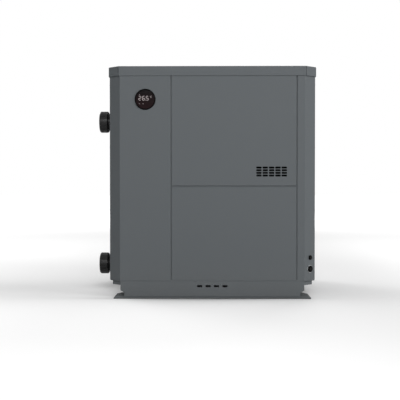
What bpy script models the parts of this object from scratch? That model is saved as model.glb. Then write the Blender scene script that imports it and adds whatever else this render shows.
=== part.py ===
"""Pool heat pump: a folded sheet-steel cabinet with a roof fan, a wrap-round coil and two water unions.

Metres, +Z up, front towards -Y, standing on the floor at Z 0. Places are given from the middle of
the cabinet, and one parent empty then shifts the whole so that its box is centred on the origin.
"""

import math

import bmesh
import bpy
from mathutils import Matrix, Vector

# Sheet, folds and clearances
FIT = 0.0003  # gap where one piece seats on another
SHEET = 0.0025  # wall of the folded pieces
FOLD_RADIUS = 0.004  # outside radius of a fold
FOLD_STEPS = 3
SEAM = 0.002  # upright joint between two cabinet pieces
PANEL_SEAM = 0.003  # level joint between the two service panels
RETURN_DEPTH = 0.014  # how far an edge is folded inwards
CUT_PAST = 0.010  # how far a cutter runs past the face that it cuts
ROUND_PROFILE = 0.5  # shape of a bevel that is an arc

# Cabinet
BODY_WIDTH = 0.872
BODY_DEPTH = 0.780
BODY_CHAMFER = 0.047  # leg of the cut corners
PANEL_BOTTOM = 0.0703
CORNER_LAP = 0.030  # how far a corner piece runs on along the side
LEFT_COLUMN_WIDTH = 0.2155  # front flat of the left column
RIGHT_STRIP_WIDTH = 0.0345  # front flat of the right post and of the rear posts
PANEL_SPLIT = 0.467  # height of the joint between the service panels
SIDE_PANEL_WIDTH = 0.250

# Lid
LID_TOP = 0.971
LID_OVERHANG = 0.0035
LID_CHAMFER = 0.0455
LID_RIM = 0.040
COLLAR_HEIGHT = 0.006  # raised collar round the fan opening
COLLAR_WALL = 0.004
TOP_EDGE_STEPS = 2

# Base pan and foot rails
PAN_INSET = 0.0115
PAN_CHAMFER = 0.0375
PAN_BOTTOM = 0.050
LIP_THICKNESS = 0.003
LIP_SETBACK = 0.001  # lip kept this far inside the panels' faces
FOOT_PLATE = 0.005  # thickness of the floor plate
FOOT_FORWARD = 0.051  # floor plate in front of the cabinet's face
FOOT_BACK = 0.090  # full-width part behind that face
FOOT_TAPER = 0.070  # further length over which its ends taper in
FOOT_WIDTH = 0.820
WEB_WIDTH = 0.774
WEB_NOTCH = 0.016  # width cut from each lower corner of the web
NOTCH_TOP = 0.0285
NOTCH_SHOULDER = 0.020
BASE_SLOT_COUNT = 4
BASE_SLOT_PITCH = 0.0353
BASE_SLOT_LENGTH = 0.022
BASE_SLOT_HEIGHT = 0.0095
BASE_SLOT_RISE = 0.047

# Vent in the upper service panel
VENT_COLUMNS = 5
VENT_ROWS = 4
VENT_MARGIN = 0.040  # from the panel's right and lower edges
VENT_PITCH_X = 0.0266
VENT_PITCH_Z = 0.0111
VENT_SLOT_LENGTH = 0.0227
VENT_SLOT_HEIGHT = 0.008
SLOT_CORNER = 0.0022

# Controller
CONTROLLER_RADIUS = 0.044
CONTROLLER_DROP = 0.099  # centre below the lid's rim
CONTROLLER_PROUD = 0.004
CONTROLLER_BARREL = 0.039
BARREL_DEPTH = 0.018
GLASS_RADIUS = 0.0395
GLASS_THICKNESS = 0.002
BEZEL_BEVEL = 0.001

# Water unions on the left side
UNION_SETBACK = 0.200  # axis behind the cabinet's face
LOWER_UNION_RISE = 0.056  # axis above the panels' lower edge
UPPER_UNION_DROP = 0.2207  # axis below the lid's top
NUT_RADIUS = 0.0465
NUT_LENGTH = 0.037
NUT_BEVEL = 0.006
COLLAR_RADIUS = 0.038
COLLAR_LENGTH = 0.023  # from the wall to the nut
COLLAR_INSIDE = 0.012  # barrel through and behind the wall
BARREL_RADIUS = 0.034
SOCKET_RADIUS = 0.0315
SOCKET_BORE = 0.025
SOCKET_SETBACK = 0.004  # socket's mouth inside the nut's end

# Cable glands on the right front post
GLAND_SIZES = (("lower", 0.048, 0.0150), ("upper", 0.096, 0.0105))  # name, rise, radius
GLAND_PROUD = 0.013
GLAND_THREAD = 0.7  # thread's radius as a share of the gland's
GLAND_INSIDE = 0.010
GLAND_SHOULDER = 0.5  # height at which the gland starts to narrow, as a share
GLAND_TIP = 0.85  # radius of its end as a share

# Fan, shroud, motor and guard
COIL_TO_FLANGE = 0.014  # shroud's flange to the coil's inner face
OPENING_STEP = 0.006  # lid's opening wider than the throat
SHROUD_HEIGHT = 0.130
SHROUD_FLANGE = 0.030
SHROUD_FLARE = 0.016
FAN_CLEARANCE = 0.009  # blade tip to throat
BLADE_COUNT = 4
BLADE_THICKNESS = 0.003
BLADE_WIDTH = 56.0  # degrees that a blade spans
BLADE_RISE = 0.062
BLADE_STATIONS = 5
BLADE_SWEEP = 14.0  # degrees from root to tip
BLADE_ROOT = 0.9  # root's radius as a share of the hub's
ROOT_CLIMB = 1.15  # climb at the root as a share of the rise
TIP_CLIMB = 0.75
HUB_RADIUS = 0.075
HUB_HEIGHT = 0.080
HUB_BEVEL = 0.012
FAN_DROP = 0.029  # hub's top below the lid's top
MOTOR_RADIUS = 0.065
MOTOR_BELOW = 0.058  # motor body under its flange
MOTOR_ABOVE = 0.014
MOTOR_FLANGE = 0.080
FLANGE_THICKNESS = 0.006
SHAFT_RADIUS = 0.008
SHAFT_ENGAGEMENT = 0.034
BRACKET_THICKNESS = 0.008
BRACKET_ARM = 0.032
GUARD_WIRE = 0.004
GUARD_RINGS = 6
GUARD_ARMS = 8
ARM_STEPS = 5
GUARD_RISE = 0.016
GUARD_DISC = 0.050
ROUND_STEPS = 48
GUARD_STEPS = 32
SMALL_STEPS = 24

# Coil, coil guards and compartment
COIL_THICKNESS = 0.044
COIL_CLEARANCE = 0.004  # coil to the pan's inner wall
COIL_BEND = 0.070
BEND_STEPS = 8
COIL_DROP = 0.046  # coil's top below the lid's top
COIL_GUARD_DEPTH = 0.006
COIL_GUARD_BORDER = 0.018
COIL_GUARD_PITCH = 0.036
COIL_GUARD_BAR = 0.005
GUARD_SETBACK = 0.0015  # guard behind the panels' faces
COMPARTMENT_CLEARANCE = 0.080  # under the fan's motor
COMPARTMENT_SIDE_GAP = 0.022  # to the coil pan's side walls
COMPARTMENT_FRONT_GAP = 0.028
RAIL_HEIGHT = 0.036
RAIL_DEPTH = 0.010

# Worked out from the sizes above
HALF_W = BODY_WIDTH / 2
HALF_D = BODY_DEPTH / 2
LID_HALF_W = HALF_W + LID_OVERHANG
LID_HALF_D = HALF_D + LID_OVERHANG
PAN_HALF_W = HALF_W - PAN_INSET
PAN_HALF_D = HALF_D - PAN_INSET
FRONT_Y = -HALF_D
RIM_BOTTOM = LID_TOP - LID_RIM
PLATE_UNDER = LID_TOP - SHEET  # underside of the lid's plate
PANEL_TOP = PLATE_UNDER - FIT
LIP_TOP = PANEL_BOTTOM - FIT
LIP_UNDER = LIP_TOP - LIP_THICKNESS
PAN_FLOOR = PAN_BOTTOM + SHEET
LEFT_SEAM_X = -HALF_W + BODY_CHAMFER + LEFT_COLUMN_WIDTH
RIGHT_SEAM_X = HALF_W - BODY_CHAMFER - RIGHT_STRIP_WIDTH
SIDE_SEAM_Y = HALF_D - BODY_CHAMFER - CORNER_LAP
SIDE_PANEL_BACK = -SIDE_SEAM_Y + SEAM + SIDE_PANEL_WIDTH
UNION_Y = FRONT_Y + UNION_SETBACK
UNION_HEIGHTS = (
    ("lower", PANEL_BOTTOM + LOWER_UNION_RISE),
    ("upper", LID_TOP - UPPER_UNION_DROP),
)
NUT_INNER_X = -HALF_W - COLLAR_LENGTH
NUT_OUTER_X = NUT_INNER_X - NUT_LENGTH
CENTRE_X = -(NUT_OUTER_X + LID_HALF_W) / 2
COLLAR_TOP = LID_TOP + COLLAR_HEIGHT
COIL_HALF_W = PAN_HALF_W - SHEET - COIL_CLEARANCE
COIL_HALF_D = PAN_HALF_D - SHEET - COIL_CLEARANCE
FLANGE_RADIUS = min(COIL_HALF_W, COIL_HALF_D) - COIL_THICKNESS - COIL_TO_FLANGE
THROAT_RADIUS = FLANGE_RADIUS - SHROUD_FLANGE
OPENING_RADIUS = THROAT_RADIUS + OPENING_STEP
SHROUD_TOP = PLATE_UNDER - FIT
SHROUD_BOTTOM = SHROUD_TOP - SHROUD_HEIGHT
BRACKET_TOP = SHROUD_BOTTOM - FIT
MOTOR_SEAT = BRACKET_TOP + FIT
HUB_TOP = LID_TOP - FAN_DROP
HUB_BOTTOM = HUB_TOP - HUB_HEIGHT
FAN_RADIUS = THROAT_RADIUS - FAN_CLEARANCE
GUARD_BASE = COLLAR_TOP + FIT
GUARD_RADIUS = OPENING_RADIUS + COLLAR_WALL / 2
COIL_TOP = LID_TOP - COIL_DROP
COMPARTMENT_TOP = MOTOR_SEAT - MOTOR_BELOW - COMPARTMENT_CLEARANCE

FINISHES = {  # colour, roughness, metallic
    "grey_powder_coat": ((0.095, 0.106, 0.116), 0.5, 0.0),
    "black_plastic": ((0.012, 0.012, 0.013), 0.4, 0.0),
    "smoked_glass": ((0.01, 0.006, 0.006), 0.08, 0.0),
    "galvanised_steel": ((0.42, 0.43, 0.44), 0.45, 0.9),
    "coil_fins": ((0.55, 0.56, 0.57), 0.35, 0.9),
    "black_wire": ((0.02, 0.021, 0.022), 0.45, 0.0),
}


def clear_scene():
    for item in list(bpy.data.objects):
        bpy.data.objects.remove(item, do_unlink=True)


def make_material(name, finish):
    colour, roughness, metallic = FINISHES[finish]
    material = bpy.data.materials.new(f"{name}_{finish}")
    material.use_nodes = True
    shader = material.node_tree.nodes["Principled BSDF"]
    shader.inputs["Base Color"].default_value = (*colour, 1.0)
    shader.inputs["Roughness"].default_value = roughness
    shader.inputs["Metallic"].default_value = metallic
    return material


def mesh_from(bm, name, smooth=False):
    bmesh.ops.recalc_face_normals(bm, faces=bm.faces)
    mesh = bpy.data.meshes.new(name)
    bm.to_mesh(mesh)
    bm.free()
    if smooth:
        mesh.shade_smooth()
        mesh.set_sharp_from_angle(angle=math.radians(35))
    return mesh


def add_piece(name, bm, finish, smooth=False):
    """Make a node of the part from a bmesh, and seat it under the cabinet's parent empty."""
    piece = bpy.data.objects.new(name, mesh_from(bm, name, smooth))
    piece.data.materials.append(make_material(name, finish))
    bpy.context.scene.collection.objects.link(piece)
    piece.parent = bpy.data.objects["heat_pump"]
    return piece


def add_helper(name, bm):
    """Make a cutter or a shape to be joined on, which isn't a piece of the part itself."""
    helper = bpy.data.objects.new(name, mesh_from(bm, name))
    bpy.context.scene.collection.objects.link(helper)
    helper.parent = bpy.data.objects["heat_pump"]
    helper.hide_render = True
    helper.display_type = "WIRE"
    return helper


def combine(piece, helper, operation):
    modifier = piece.modifiers.new(helper.name, "BOOLEAN")
    modifier.operation = operation
    modifier.solver = "EXACT"
    modifier.object = helper


def cut(piece, helper):
    combine(piece, helper, "DIFFERENCE")


def join(piece, helper):
    combine(piece, helper, "UNION")


def prism(outline, low, high, bm=None):
    """Extrude a plan outline of (x, y) points from height low to height high."""
    bm = bm or bmesh.new()
    face = bm.faces.new([bm.verts.new((x, y, low)) for x, y in outline])
    extruded = bmesh.ops.extrude_face_region(bm, geom=[face])
    raised = [item for item in extruded["geom"] if isinstance(item, bmesh.types.BMVert)]
    bmesh.ops.translate(bm, verts=raised, vec=(0, 0, high - low))
    return bm


def box(low, high, bm=None):
    """A box between two opposite corners."""
    outline = [(low[0], low[1]), (high[0], low[1]), (high[0], high[1]), (low[0], high[1])]
    return prism(outline, low[2], high[2], bm)


def octagon(half_x, half_y, chamfer):
    """A rectangle with its corners cut at 45 degrees, anticlockwise from the front right."""
    corners = []
    for sx, sy in ((1, -1), (1, 1), (-1, 1), (-1, -1)):
        end = (sx * (half_x - chamfer), sy * half_y)
        side = (sx * half_x, sy * (half_y - chamfer))
        corners += [end, side] if sx * sy < 0 else [side, end]
    return corners


def rounded(points, radius, closed=True, steps=FOLD_STEPS):
    """Replace each corner of a path by an arc of the radius."""
    result = []
    count = len(points)
    for i, point in enumerate(points):
        if not closed and i in (0, count - 1):
            result.append(point)
            continue
        corner = Vector(point)
        before = (Vector(points[i - 1]) - corner).normalized()
        after = (Vector(points[(i + 1) % count]) - corner).normalized()
        half_angle = before.angle(after) / 2
        reach = radius / math.tan(half_angle)
        middle = corner + (before + after).normalized() * (radius / math.sin(half_angle))
        start = corner + before * reach - middle
        turn = math.pi - 2 * half_angle
        side = math.copysign(1, before.x * after.y - before.y * after.x)
        for step in range(steps + 1):
            angle = -side * turn * step / steps
            spoke = Matrix.Rotation(angle, 2) @ start
            result.append(tuple(middle + spoke))
    return result


def offset_path(points, distance):
    """Shift an open path to its left by the distance, with mitred corners."""
    normals = []
    for first, second in zip(points, points[1:]):
        along = (Vector(second) - Vector(first)).normalized()
        normals.append(Vector((-along.y, along.x)))
    shifted = []
    for i, point in enumerate(points):
        before = normals[max(i - 1, 0)]
        after = normals[min(i, len(normals) - 1)]
        mitre = (before + after).normalized()
        shifted.append(tuple(Vector(point) + mitre * (distance / mitre.dot(after))))
    return shifted


def folded_sheet(path, low, high):
    """An upright sheet folded along a plan path, whose left side is the inside."""
    outer = rounded(path, FOLD_RADIUS, closed=False)
    inner = rounded(offset_path(path, SHEET), FOLD_RADIUS - SHEET, closed=False)
    return prism(outer + inner[::-1], low, high)


def turned(profile, steps=ROUND_STEPS, closed=True):
    """Spin a profile of (radius, height) points about Z. An open profile ends on the axis."""
    bm = bmesh.new()
    verts = [bm.verts.new((radius, 0, height)) for radius, height in profile]
    edges = [bm.edges.new(pair) for pair in zip(verts, verts[1:])]
    if closed:
        edges.append(bm.edges.new((verts[-1], verts[0])))
    bmesh.ops.spin(
        bm,
        geom=verts + edges,
        cent=(0, 0, 0),
        axis=(0, 0, 1),
        angle=2 * math.pi,
        steps=steps,
        use_merge=True,
    )
    bmesh.ops.remove_doubles(bm, verts=bm.verts, dist=1e-6)
    return bm


def cylinder_profile(radius, low, high):
    """An open profile that turns into a plain cylinder."""
    return [(0, low), (radius, low), (radius, high), (0, high)]


def inner_chamfer(chamfer):
    """Leg of a cut corner that lies one sheet's thickness further in."""
    return chamfer - SHEET * (2 - math.sqrt(2))


def moved(bm, matrix):
    bmesh.ops.transform(bm, matrix=matrix, verts=bm.verts)
    return bm


def along_minus_x(place):
    """Turn a piece made along +Z so that it points out of the left side, at a place."""
    return Matrix.Translation(place) @ Matrix.Rotation(-math.pi / 2, 4, "Y")


def along_minus_y(place):
    """Turn a piece made along +Z so that it points out of the front, at a place."""
    return Matrix.Translation(place) @ Matrix.Rotation(math.pi / 2, 4, "X")


def round_off(bm, edges, radius, steps):
    bmesh.ops.bevel(
        bm, geom=edges, offset=radius, segments=steps, profile=ROUND_PROFILE, affect="EDGES"
    )


def tray(low, high, outward):
    """A panel with its four edges folded inwards. Its outer edges are rounded as the folds are."""
    bm = box(low, high)
    axis = 0 if outward[0] else 1
    sign = outward[axis]
    face_at = high[axis] if sign > 0 else low[axis]
    rim = [
        edge
        for edge in bm.edges
        if all(abs(vert.co[axis] - face_at) < 1e-6 for vert in edge.verts)
    ]
    round_off(bm, rim, FOLD_RADIUS, FOLD_STEPS)
    return bm


def tray_hollow(low, high, outward):
    """The space inside a tray, run past its open side."""
    axis = 0 if outward[0] else 1
    inner_low = [value + SHEET for value in low]
    inner_high = [value - SHEET for value in high]
    if outward[axis] > 0:
        inner_low[axis] = low[axis] - CUT_PAST
    else:
        inner_high[axis] = high[axis] + CUT_PAST
    return box(inner_low, inner_high)


def add_tray(name, low, high, outward):
    piece = add_piece(name, tray(low, high, outward), "grey_powder_coat")
    cut(piece, add_helper(f"{name}_hollow", tray_hollow(low, high, outward)))
    return piece


def slot_outline(length, height):
    """A level slot with cut corners, as (along, up) points round its middle."""
    return octagon(length / 2, height / 2, SLOT_CORNER)


def front_slots(centres, length, height, face_y, depth):
    """Cutters for slots through an upright plate that faces the front."""
    bm = bmesh.new()
    for x, z in centres:
        outline = slot_outline(length, height)
        one = prism(outline, -CUT_PAST, depth + CUT_PAST)
        upright = Matrix.Rotation(-math.pi / 2, 4, "X")
        moved(one, Matrix.Translation((x, face_y, z)) @ upright)
        join_into(bm, one)
    return bm


def join_into(bm, other):
    """Copy one bmesh into another as a body of its own."""
    mesh = bpy.data.meshes.new("part_of_pattern")
    other.to_mesh(mesh)
    other.free()
    bm.from_mesh(mesh)
    bpy.data.meshes.remove(mesh)


def mirrored(path):
    """The same path on the other side, run the other way so that its left stays inside."""
    return [(-x, y) for x, y in reversed(path)]


def turned_back(path):
    """The same path at the rear, run the other way so that its left stays inside."""
    return [(x, -y) for x, y in reversed(path)]


def corner_path(seam_x):
    """Plan of the right front corner: return, front flat, cut corner, lap on the side, return."""
    return [
        (seam_x, FRONT_Y + RETURN_DEPTH),
        (seam_x, FRONT_Y),
        (HALF_W - BODY_CHAMFER, FRONT_Y),
        (HALF_W, FRONT_Y + BODY_CHAMFER),
        (HALF_W, -SIDE_SEAM_Y),
        (HALF_W - RETURN_DEPTH, -SIDE_SEAM_Y),
    ]


def build_top_cover():
    outline = rounded(octagon(LID_HALF_W, LID_HALF_D, LID_CHAMFER), FOLD_RADIUS)
    bm = prism(outline, RIM_BOTTOM, LID_TOP)
    top = [
        edge for edge in bm.edges if all(abs(vert.co.z - LID_TOP) < 1e-6 for vert in edge.verts)
    ]
    round_off(bm, top, SHEET, TOP_EDGE_STEPS)
    lid = add_piece("top_cover", bm, "grey_powder_coat")
    inside = octagon(LID_HALF_W - SHEET, LID_HALF_D - SHEET, inner_chamfer(LID_CHAMFER))
    cut(lid, add_helper("lid_hollow", prism(inside, RIM_BOTTOM - CUT_PAST, PLATE_UNDER)))
    collar = cylinder_profile(OPENING_RADIUS + COLLAR_WALL, PLATE_UNDER + SHEET / 2, COLLAR_TOP)
    join(lid, add_helper("lid_collar", turned(collar, closed=False)))
    hole = cylinder_profile(OPENING_RADIUS, PLATE_UNDER - CUT_PAST, COLLAR_TOP + CUT_PAST)
    cut(lid, add_helper("lid_opening", turned(hole, closed=False)))


def build_corner_pieces():
    left_path = mirrored(corner_path(-LEFT_SEAM_X + SEAM / 2))
    left = add_piece(
        "left_front_panel", folded_sheet(left_path, PANEL_BOTTOM, PANEL_TOP), "grey_powder_coat"
    )
    hole = cylinder_profile(CONTROLLER_BARREL + FIT, -CUT_PAST, CUT_PAST)
    bm = moved(turned(hole, closed=False), along_minus_y(controller_place()))
    cut(left, add_helper("controller_hole", bm))

    right_path = corner_path(RIGHT_SEAM_X + SEAM / 2)
    right = add_piece(
        "right_front_post", folded_sheet(right_path, PANEL_BOTTOM, PANEL_TOP), "grey_powder_coat"
    )
    for side, rise, radius in GLAND_SIZES:
        drill = cylinder_profile(radius * GLAND_THREAD + FIT, -CUT_PAST, CUT_PAST)
        bm = moved(turned(drill, SMALL_STEPS, closed=False), gland_matrix(rise))
        cut(right, add_helper(f"{side}_gland_hole", bm))

    rear_path = turned_back(corner_path(RIGHT_SEAM_X + SEAM / 2))
    for name, path in (("right_rear_post", rear_path), ("left_rear_post", mirrored(rear_path))):
        add_piece(name, folded_sheet(path, PANEL_BOTTOM, PANEL_TOP), "grey_powder_coat")


def build_service_panels():
    left = LEFT_SEAM_X + SEAM / 2
    right = RIGHT_SEAM_X - SEAM / 2
    back = FRONT_Y + RETURN_DEPTH
    split_low = PANEL_SPLIT - PANEL_SEAM / 2
    split_high = PANEL_SPLIT + PANEL_SEAM / 2
    front = (0, -1)
    low = (left, FRONT_Y, PANEL_BOTTOM)
    add_tray("lower_service_panel", low, (right, back, split_low), front)
    low = (left, FRONT_Y, split_high)
    upper = add_tray("upper_service_panel", low, (right, back, PANEL_TOP), front)
    first_x = right - VENT_MARGIN - VENT_SLOT_LENGTH / 2
    first_z = split_high + VENT_MARGIN + VENT_SLOT_HEIGHT / 2
    centres = [
        (first_x - column * VENT_PITCH_X, first_z + row * VENT_PITCH_Z)
        for row in range(VENT_ROWS)
        for column in range(VENT_COLUMNS)
    ]
    slots = front_slots(centres, VENT_SLOT_LENGTH, VENT_SLOT_HEIGHT, FRONT_Y, SHEET)
    cut(upper, add_helper("vent_slots", slots))
    low = (left, back + FIT, PANEL_SPLIT - RAIL_HEIGHT / 2)
    high = (right, back + FIT + RAIL_DEPTH, PANEL_SPLIT + RAIL_HEIGHT / 2)
    add_piece("panel_cross_rail", box(low, high), "grey_powder_coat")


def build_side_panels():
    front = -SIDE_SEAM_Y + SEAM
    low = (-HALF_W, front, PANEL_BOTTOM)
    high = (-HALF_W + RETURN_DEPTH, SIDE_PANEL_BACK, PANEL_TOP)
    left = add_tray("left_side_panel", low, high, (-1, 0))
    drill = cylinder_profile(BARREL_RADIUS + FIT, -CUT_PAST, CUT_PAST)
    for side, height in UNION_HEIGHTS:
        place = along_minus_x((-HALF_W, UNION_Y, height))
        bm = moved(turned(drill, SMALL_STEPS, closed=False), place)
        cut(left, add_helper(f"{side}_union_hole", bm))
    low = (HALF_W - RETURN_DEPTH, front, PANEL_BOTTOM)
    high = (HALF_W, SIDE_PANEL_BACK, PANEL_TOP)
    add_tray("right_side_panel", low, high, (1, 0))


def barred_guard(width):
    """A framed guard of level bars, standing on the X axis from X 0 and facing -Y."""
    height = PANEL_TOP - PANEL_BOTTOM
    depth = COIL_GUARD_DEPTH
    border = COIL_GUARD_BORDER
    frame = box((0, 0, 0), (width, depth, height))
    window = box(
        (border, -CUT_PAST, border), (width - border, depth + CUT_PAST, height - border)
    )
    bars = bmesh.new()
    inset = border / 2
    middle = depth / 2
    half = COIL_GUARD_BAR / 2
    count = int((height - 2 * border) / COIL_GUARD_PITCH)
    pitch = (height - 2 * border) / (count + 1)
    for i in range(1, count + 1):
        z = border + pitch * i
        box((inset, middle - half, z - half), (width - inset, middle + half, z + half), bars)
    return frame, window, bars


def build_coil_guards():
    guard_x = HALF_W - GUARD_SETBACK
    side_front = SIDE_PANEL_BACK + SEAM
    side_back = SIDE_SEAM_Y - SEAM
    rear_half = RIGHT_SEAM_X - SEAM / 2
    side_width = side_back - side_front
    guards = (
        ("left_coil_guard", side_width, (-guard_x, side_back), -math.pi / 2),
        ("right_coil_guard", side_width, (guard_x, side_front), math.pi / 2),
        ("rear_coil_guard", 2 * rear_half, (rear_half, HALF_D - GUARD_SETBACK), math.pi),
    )
    for name, width, place, turn in guards:
        matrix = Matrix.Translation((*place, PANEL_BOTTOM)) @ Matrix.Rotation(turn, 4, "Z")
        frame, window, bars = (moved(bm, matrix) for bm in barred_guard(width))
        guard = add_piece(name, frame, "black_wire")
        cut(guard, add_helper(f"{name}_window", window))
        join(guard, add_helper(f"{name}_bars", bars))


def build_coil():
    """The finned coil, bent to run along the left side, the back and the right side."""
    start_y = SIDE_PANEL_BACK + SEAM
    path = [
        (COIL_HALF_W, start_y),
        (COIL_HALF_W, COIL_HALF_D),
        (-COIL_HALF_W, COIL_HALF_D),
        (-COIL_HALF_W, start_y),
    ]
    inner_path = offset_path(path, COIL_THICKNESS)
    outer = rounded(path, COIL_BEND, closed=False, steps=BEND_STEPS)
    inner = rounded(inner_path, COIL_BEND - COIL_THICKNESS, closed=False, steps=BEND_STEPS)
    bm = prism(outer + inner[::-1], PAN_FLOOR + FIT, COIL_TOP)
    add_piece("evaporator_coil", bm, "coil_fins")


def build_compartment():
    half_x = PAN_HALF_W - SHEET - COMPARTMENT_SIDE_GAP
    front = -PAN_HALF_D + COMPARTMENT_FRONT_GAP
    back = SIDE_PANEL_BACK - SEAM
    bm = box((-half_x, front, PAN_FLOOR + FIT), (half_x, back, COMPARTMENT_TOP))
    add_piece("compressor_compartment", bm, "galvanised_steel")


def build_base_pan():
    outline = rounded(octagon(PAN_HALF_W, PAN_HALF_D, PAN_CHAMFER), FOLD_RADIUS)
    pan = add_piece("base_pan", prism(outline, PAN_BOTTOM, LIP_TOP), "grey_powder_coat")
    lip = octagon(HALF_W - LIP_SETBACK, HALF_D - LIP_SETBACK, BODY_CHAMFER)
    join(pan, add_helper("pan_lip", prism(lip, LIP_UNDER, LIP_TOP)))
    inside = octagon(PAN_HALF_W - SHEET, PAN_HALF_D - SHEET, inner_chamfer(PAN_CHAMFER))
    cut(pan, add_helper("pan_hollow", prism(inside, PAN_FLOOR, LIP_TOP + CUT_PAST)))


def build_foot_rails():
    """Front and rear rails: an upright web against the pan, and a plate flat on the floor."""
    web_face = -PAN_HALF_D - FIT - SHEET
    half_web = WEB_WIDTH / 2
    half_foot = FOOT_WIDTH / 2
    narrow = half_web - WEB_NOTCH
    face = [
        (half_web, LIP_UNDER - FIT),
        (half_web, NOTCH_TOP),
        (narrow, NOTCH_SHOULDER),
        (narrow, FOOT_PLATE / 2),
    ]
    face += [(-x, z) for x, z in reversed(face)]
    plan = [
        (half_foot, FRONT_Y - FOOT_FORWARD),
        (half_foot, FRONT_Y + FOOT_BACK),
        (narrow, FRONT_Y + FOOT_BACK + FOOT_TAPER),
    ]
    plan += [(-x, y) for x, y in reversed(plan)]
    first = -(BASE_SLOT_COUNT - 1) / 2 * BASE_SLOT_PITCH
    centres = [(first + i * BASE_SLOT_PITCH, BASE_SLOT_RISE) for i in range(BASE_SLOT_COUNT)]
    upright = Matrix.Translation((0, web_face + SHEET, 0)) @ Matrix.Rotation(math.pi / 2, 4, "X")
    for name, turn in (("front_foot_rail", 0), ("rear_foot_rail", math.pi)):
        about = Matrix.Rotation(turn, 4, "Z")
        rail = add_piece(name, moved(prism(plan, 0, FOOT_PLATE), about), "grey_powder_coat")
        web = moved(prism(face, 0, SHEET), about @ upright)
        join(rail, add_helper(f"{name}_web", web))
        slots = front_slots(centres, BASE_SLOT_LENGTH, BASE_SLOT_HEIGHT, web_face, SHEET)
        cut(rail, add_helper(f"{name}_slots", moved(slots, about)))


def controller_place():
    middle_x = -HALF_W + BODY_CHAMFER + (LEFT_COLUMN_WIDTH - SEAM / 2) / 2
    return (middle_x, FRONT_Y, RIM_BOTTOM - CONTROLLER_DROP)


def build_controller():
    place = along_minus_y(controller_place())
    glass_back = CONTROLLER_PROUD - GLASS_THICKNESS
    recess = GLASS_RADIUS + FIT
    body = [
        (0, -BARREL_DEPTH),
        (CONTROLLER_BARREL, -BARREL_DEPTH),
        (CONTROLLER_BARREL, FIT),
        (CONTROLLER_RADIUS, FIT),
        (CONTROLLER_RADIUS, CONTROLLER_PROUD - BEZEL_BEVEL),
        (CONTROLLER_RADIUS - BEZEL_BEVEL, CONTROLLER_PROUD),
        (recess, CONTROLLER_PROUD),
        (recess, glass_back - FIT),
        (0, glass_back - FIT),
    ]
    bm = moved(turned(body, closed=False), place)
    add_piece("controller_bezel", bm, "black_plastic", True)
    glass = cylinder_profile(GLASS_RADIUS, glass_back, CONTROLLER_PROUD)
    bm = moved(turned(glass, closed=False), place)
    add_piece("controller_glass", bm, "smoked_glass", True)


def build_unions():
    """Each union, outwards from the wall: a bulkhead collar, a pipe socket and the nut round it."""
    nut_low = COLLAR_LENGTH
    nut_high = COLLAR_LENGTH + NUT_LENGTH
    socket_low = nut_low + FIT
    socket_high = nut_high - SOCKET_SETBACK
    collar = [
        (SOCKET_BORE, -COLLAR_INSIDE),
        (BARREL_RADIUS, -COLLAR_INSIDE),
        (BARREL_RADIUS, FIT),
        (COLLAR_RADIUS, FIT),
        (COLLAR_RADIUS, nut_low - FIT),
        (SOCKET_BORE, nut_low - FIT),
    ]
    into_wall = (SOCKET_BORE + BARREL_RADIUS) / 2
    end = cylinder_profile(into_wall, -COLLAR_INSIDE, FIT)
    socket = [
        (SOCKET_BORE, socket_low),
        (SOCKET_RADIUS, socket_low),
        (SOCKET_RADIUS, socket_high),
        (SOCKET_BORE, socket_high),
    ]
    nut_bore = SOCKET_RADIUS + FIT
    nut = [
        (nut_bore, nut_low),
        (NUT_RADIUS - NUT_BEVEL, nut_low),
        (NUT_RADIUS, nut_low + NUT_BEVEL),
        (NUT_RADIUS, nut_high - NUT_BEVEL),
        (NUT_RADIUS - NUT_BEVEL, nut_high),
        (nut_bore, nut_high),
    ]
    for side, height in UNION_HEIGHTS:
        place = along_minus_x((-HALF_W, UNION_Y, height))
        rings = (("wall_collar", collar), ("pipe_socket", socket), ("union_nut", nut))
        for name, profile in rings:
            bm = moved(turned(profile, SMALL_STEPS), place)
            piece = add_piece(f"{side}_{name}", bm, "black_plastic", True)
            if name == "wall_collar":
                closing = moved(turned(end, SMALL_STEPS, closed=False), place)
                join(piece, add_helper(f"{side}_collar_end", closing))


def gland_matrix(rise):
    """Where a gland stands: half way across the right front cut corner, pointing out of it."""
    x = HALF_W - BODY_CHAMFER / 2
    y = FRONT_Y + BODY_CHAMFER / 2
    outward = Vector((1, -1, 0)).normalized()
    turn = Vector((0, 0, 1)).rotation_difference(outward).to_matrix().to_4x4()
    return Matrix.Translation((x, y, PANEL_BOTTOM + rise)) @ turn


def build_glands():
    for side, rise, radius in GLAND_SIZES:
        thread = radius * GLAND_THREAD
        body = [
            (0, -GLAND_INSIDE),
            (thread, -GLAND_INSIDE),
            (thread, FIT),
            (radius, FIT),
            (radius, GLAND_PROUD * GLAND_SHOULDER),
            (radius * GLAND_TIP, GLAND_PROUD),
            (0, GLAND_PROUD),
        ]
        bm = moved(turned(body, SMALL_STEPS, closed=False), gland_matrix(rise))
        add_piece(f"{side}_cable_gland", bm, "black_plastic", True)


def build_shroud():
    """The ring round the fan: a flange under the lid, a straight throat and a flared mouth below."""
    outer = THROAT_RADIUS + SHEET
    flare = THROAT_RADIUS + SHROUD_FLARE
    profile = [
        (THROAT_RADIUS, SHROUD_TOP),
        (THROAT_RADIUS, SHROUD_BOTTOM + SHROUD_FLARE),
        (flare - SHEET, SHROUD_BOTTOM),
        (FLANGE_RADIUS, SHROUD_BOTTOM),
        (FLANGE_RADIUS, SHROUD_BOTTOM + SHEET),
        (flare, SHROUD_BOTTOM + SHEET),
        (outer, SHROUD_BOTTOM + SHROUD_FLARE + SHEET),
        (outer, SHROUD_TOP - SHEET),
        (FLANGE_RADIUS, SHROUD_TOP - SHEET),
        (FLANGE_RADIUS, SHROUD_TOP),
    ]
    add_piece("fan_shroud", turned(profile), "galvanised_steel", True)


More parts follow.
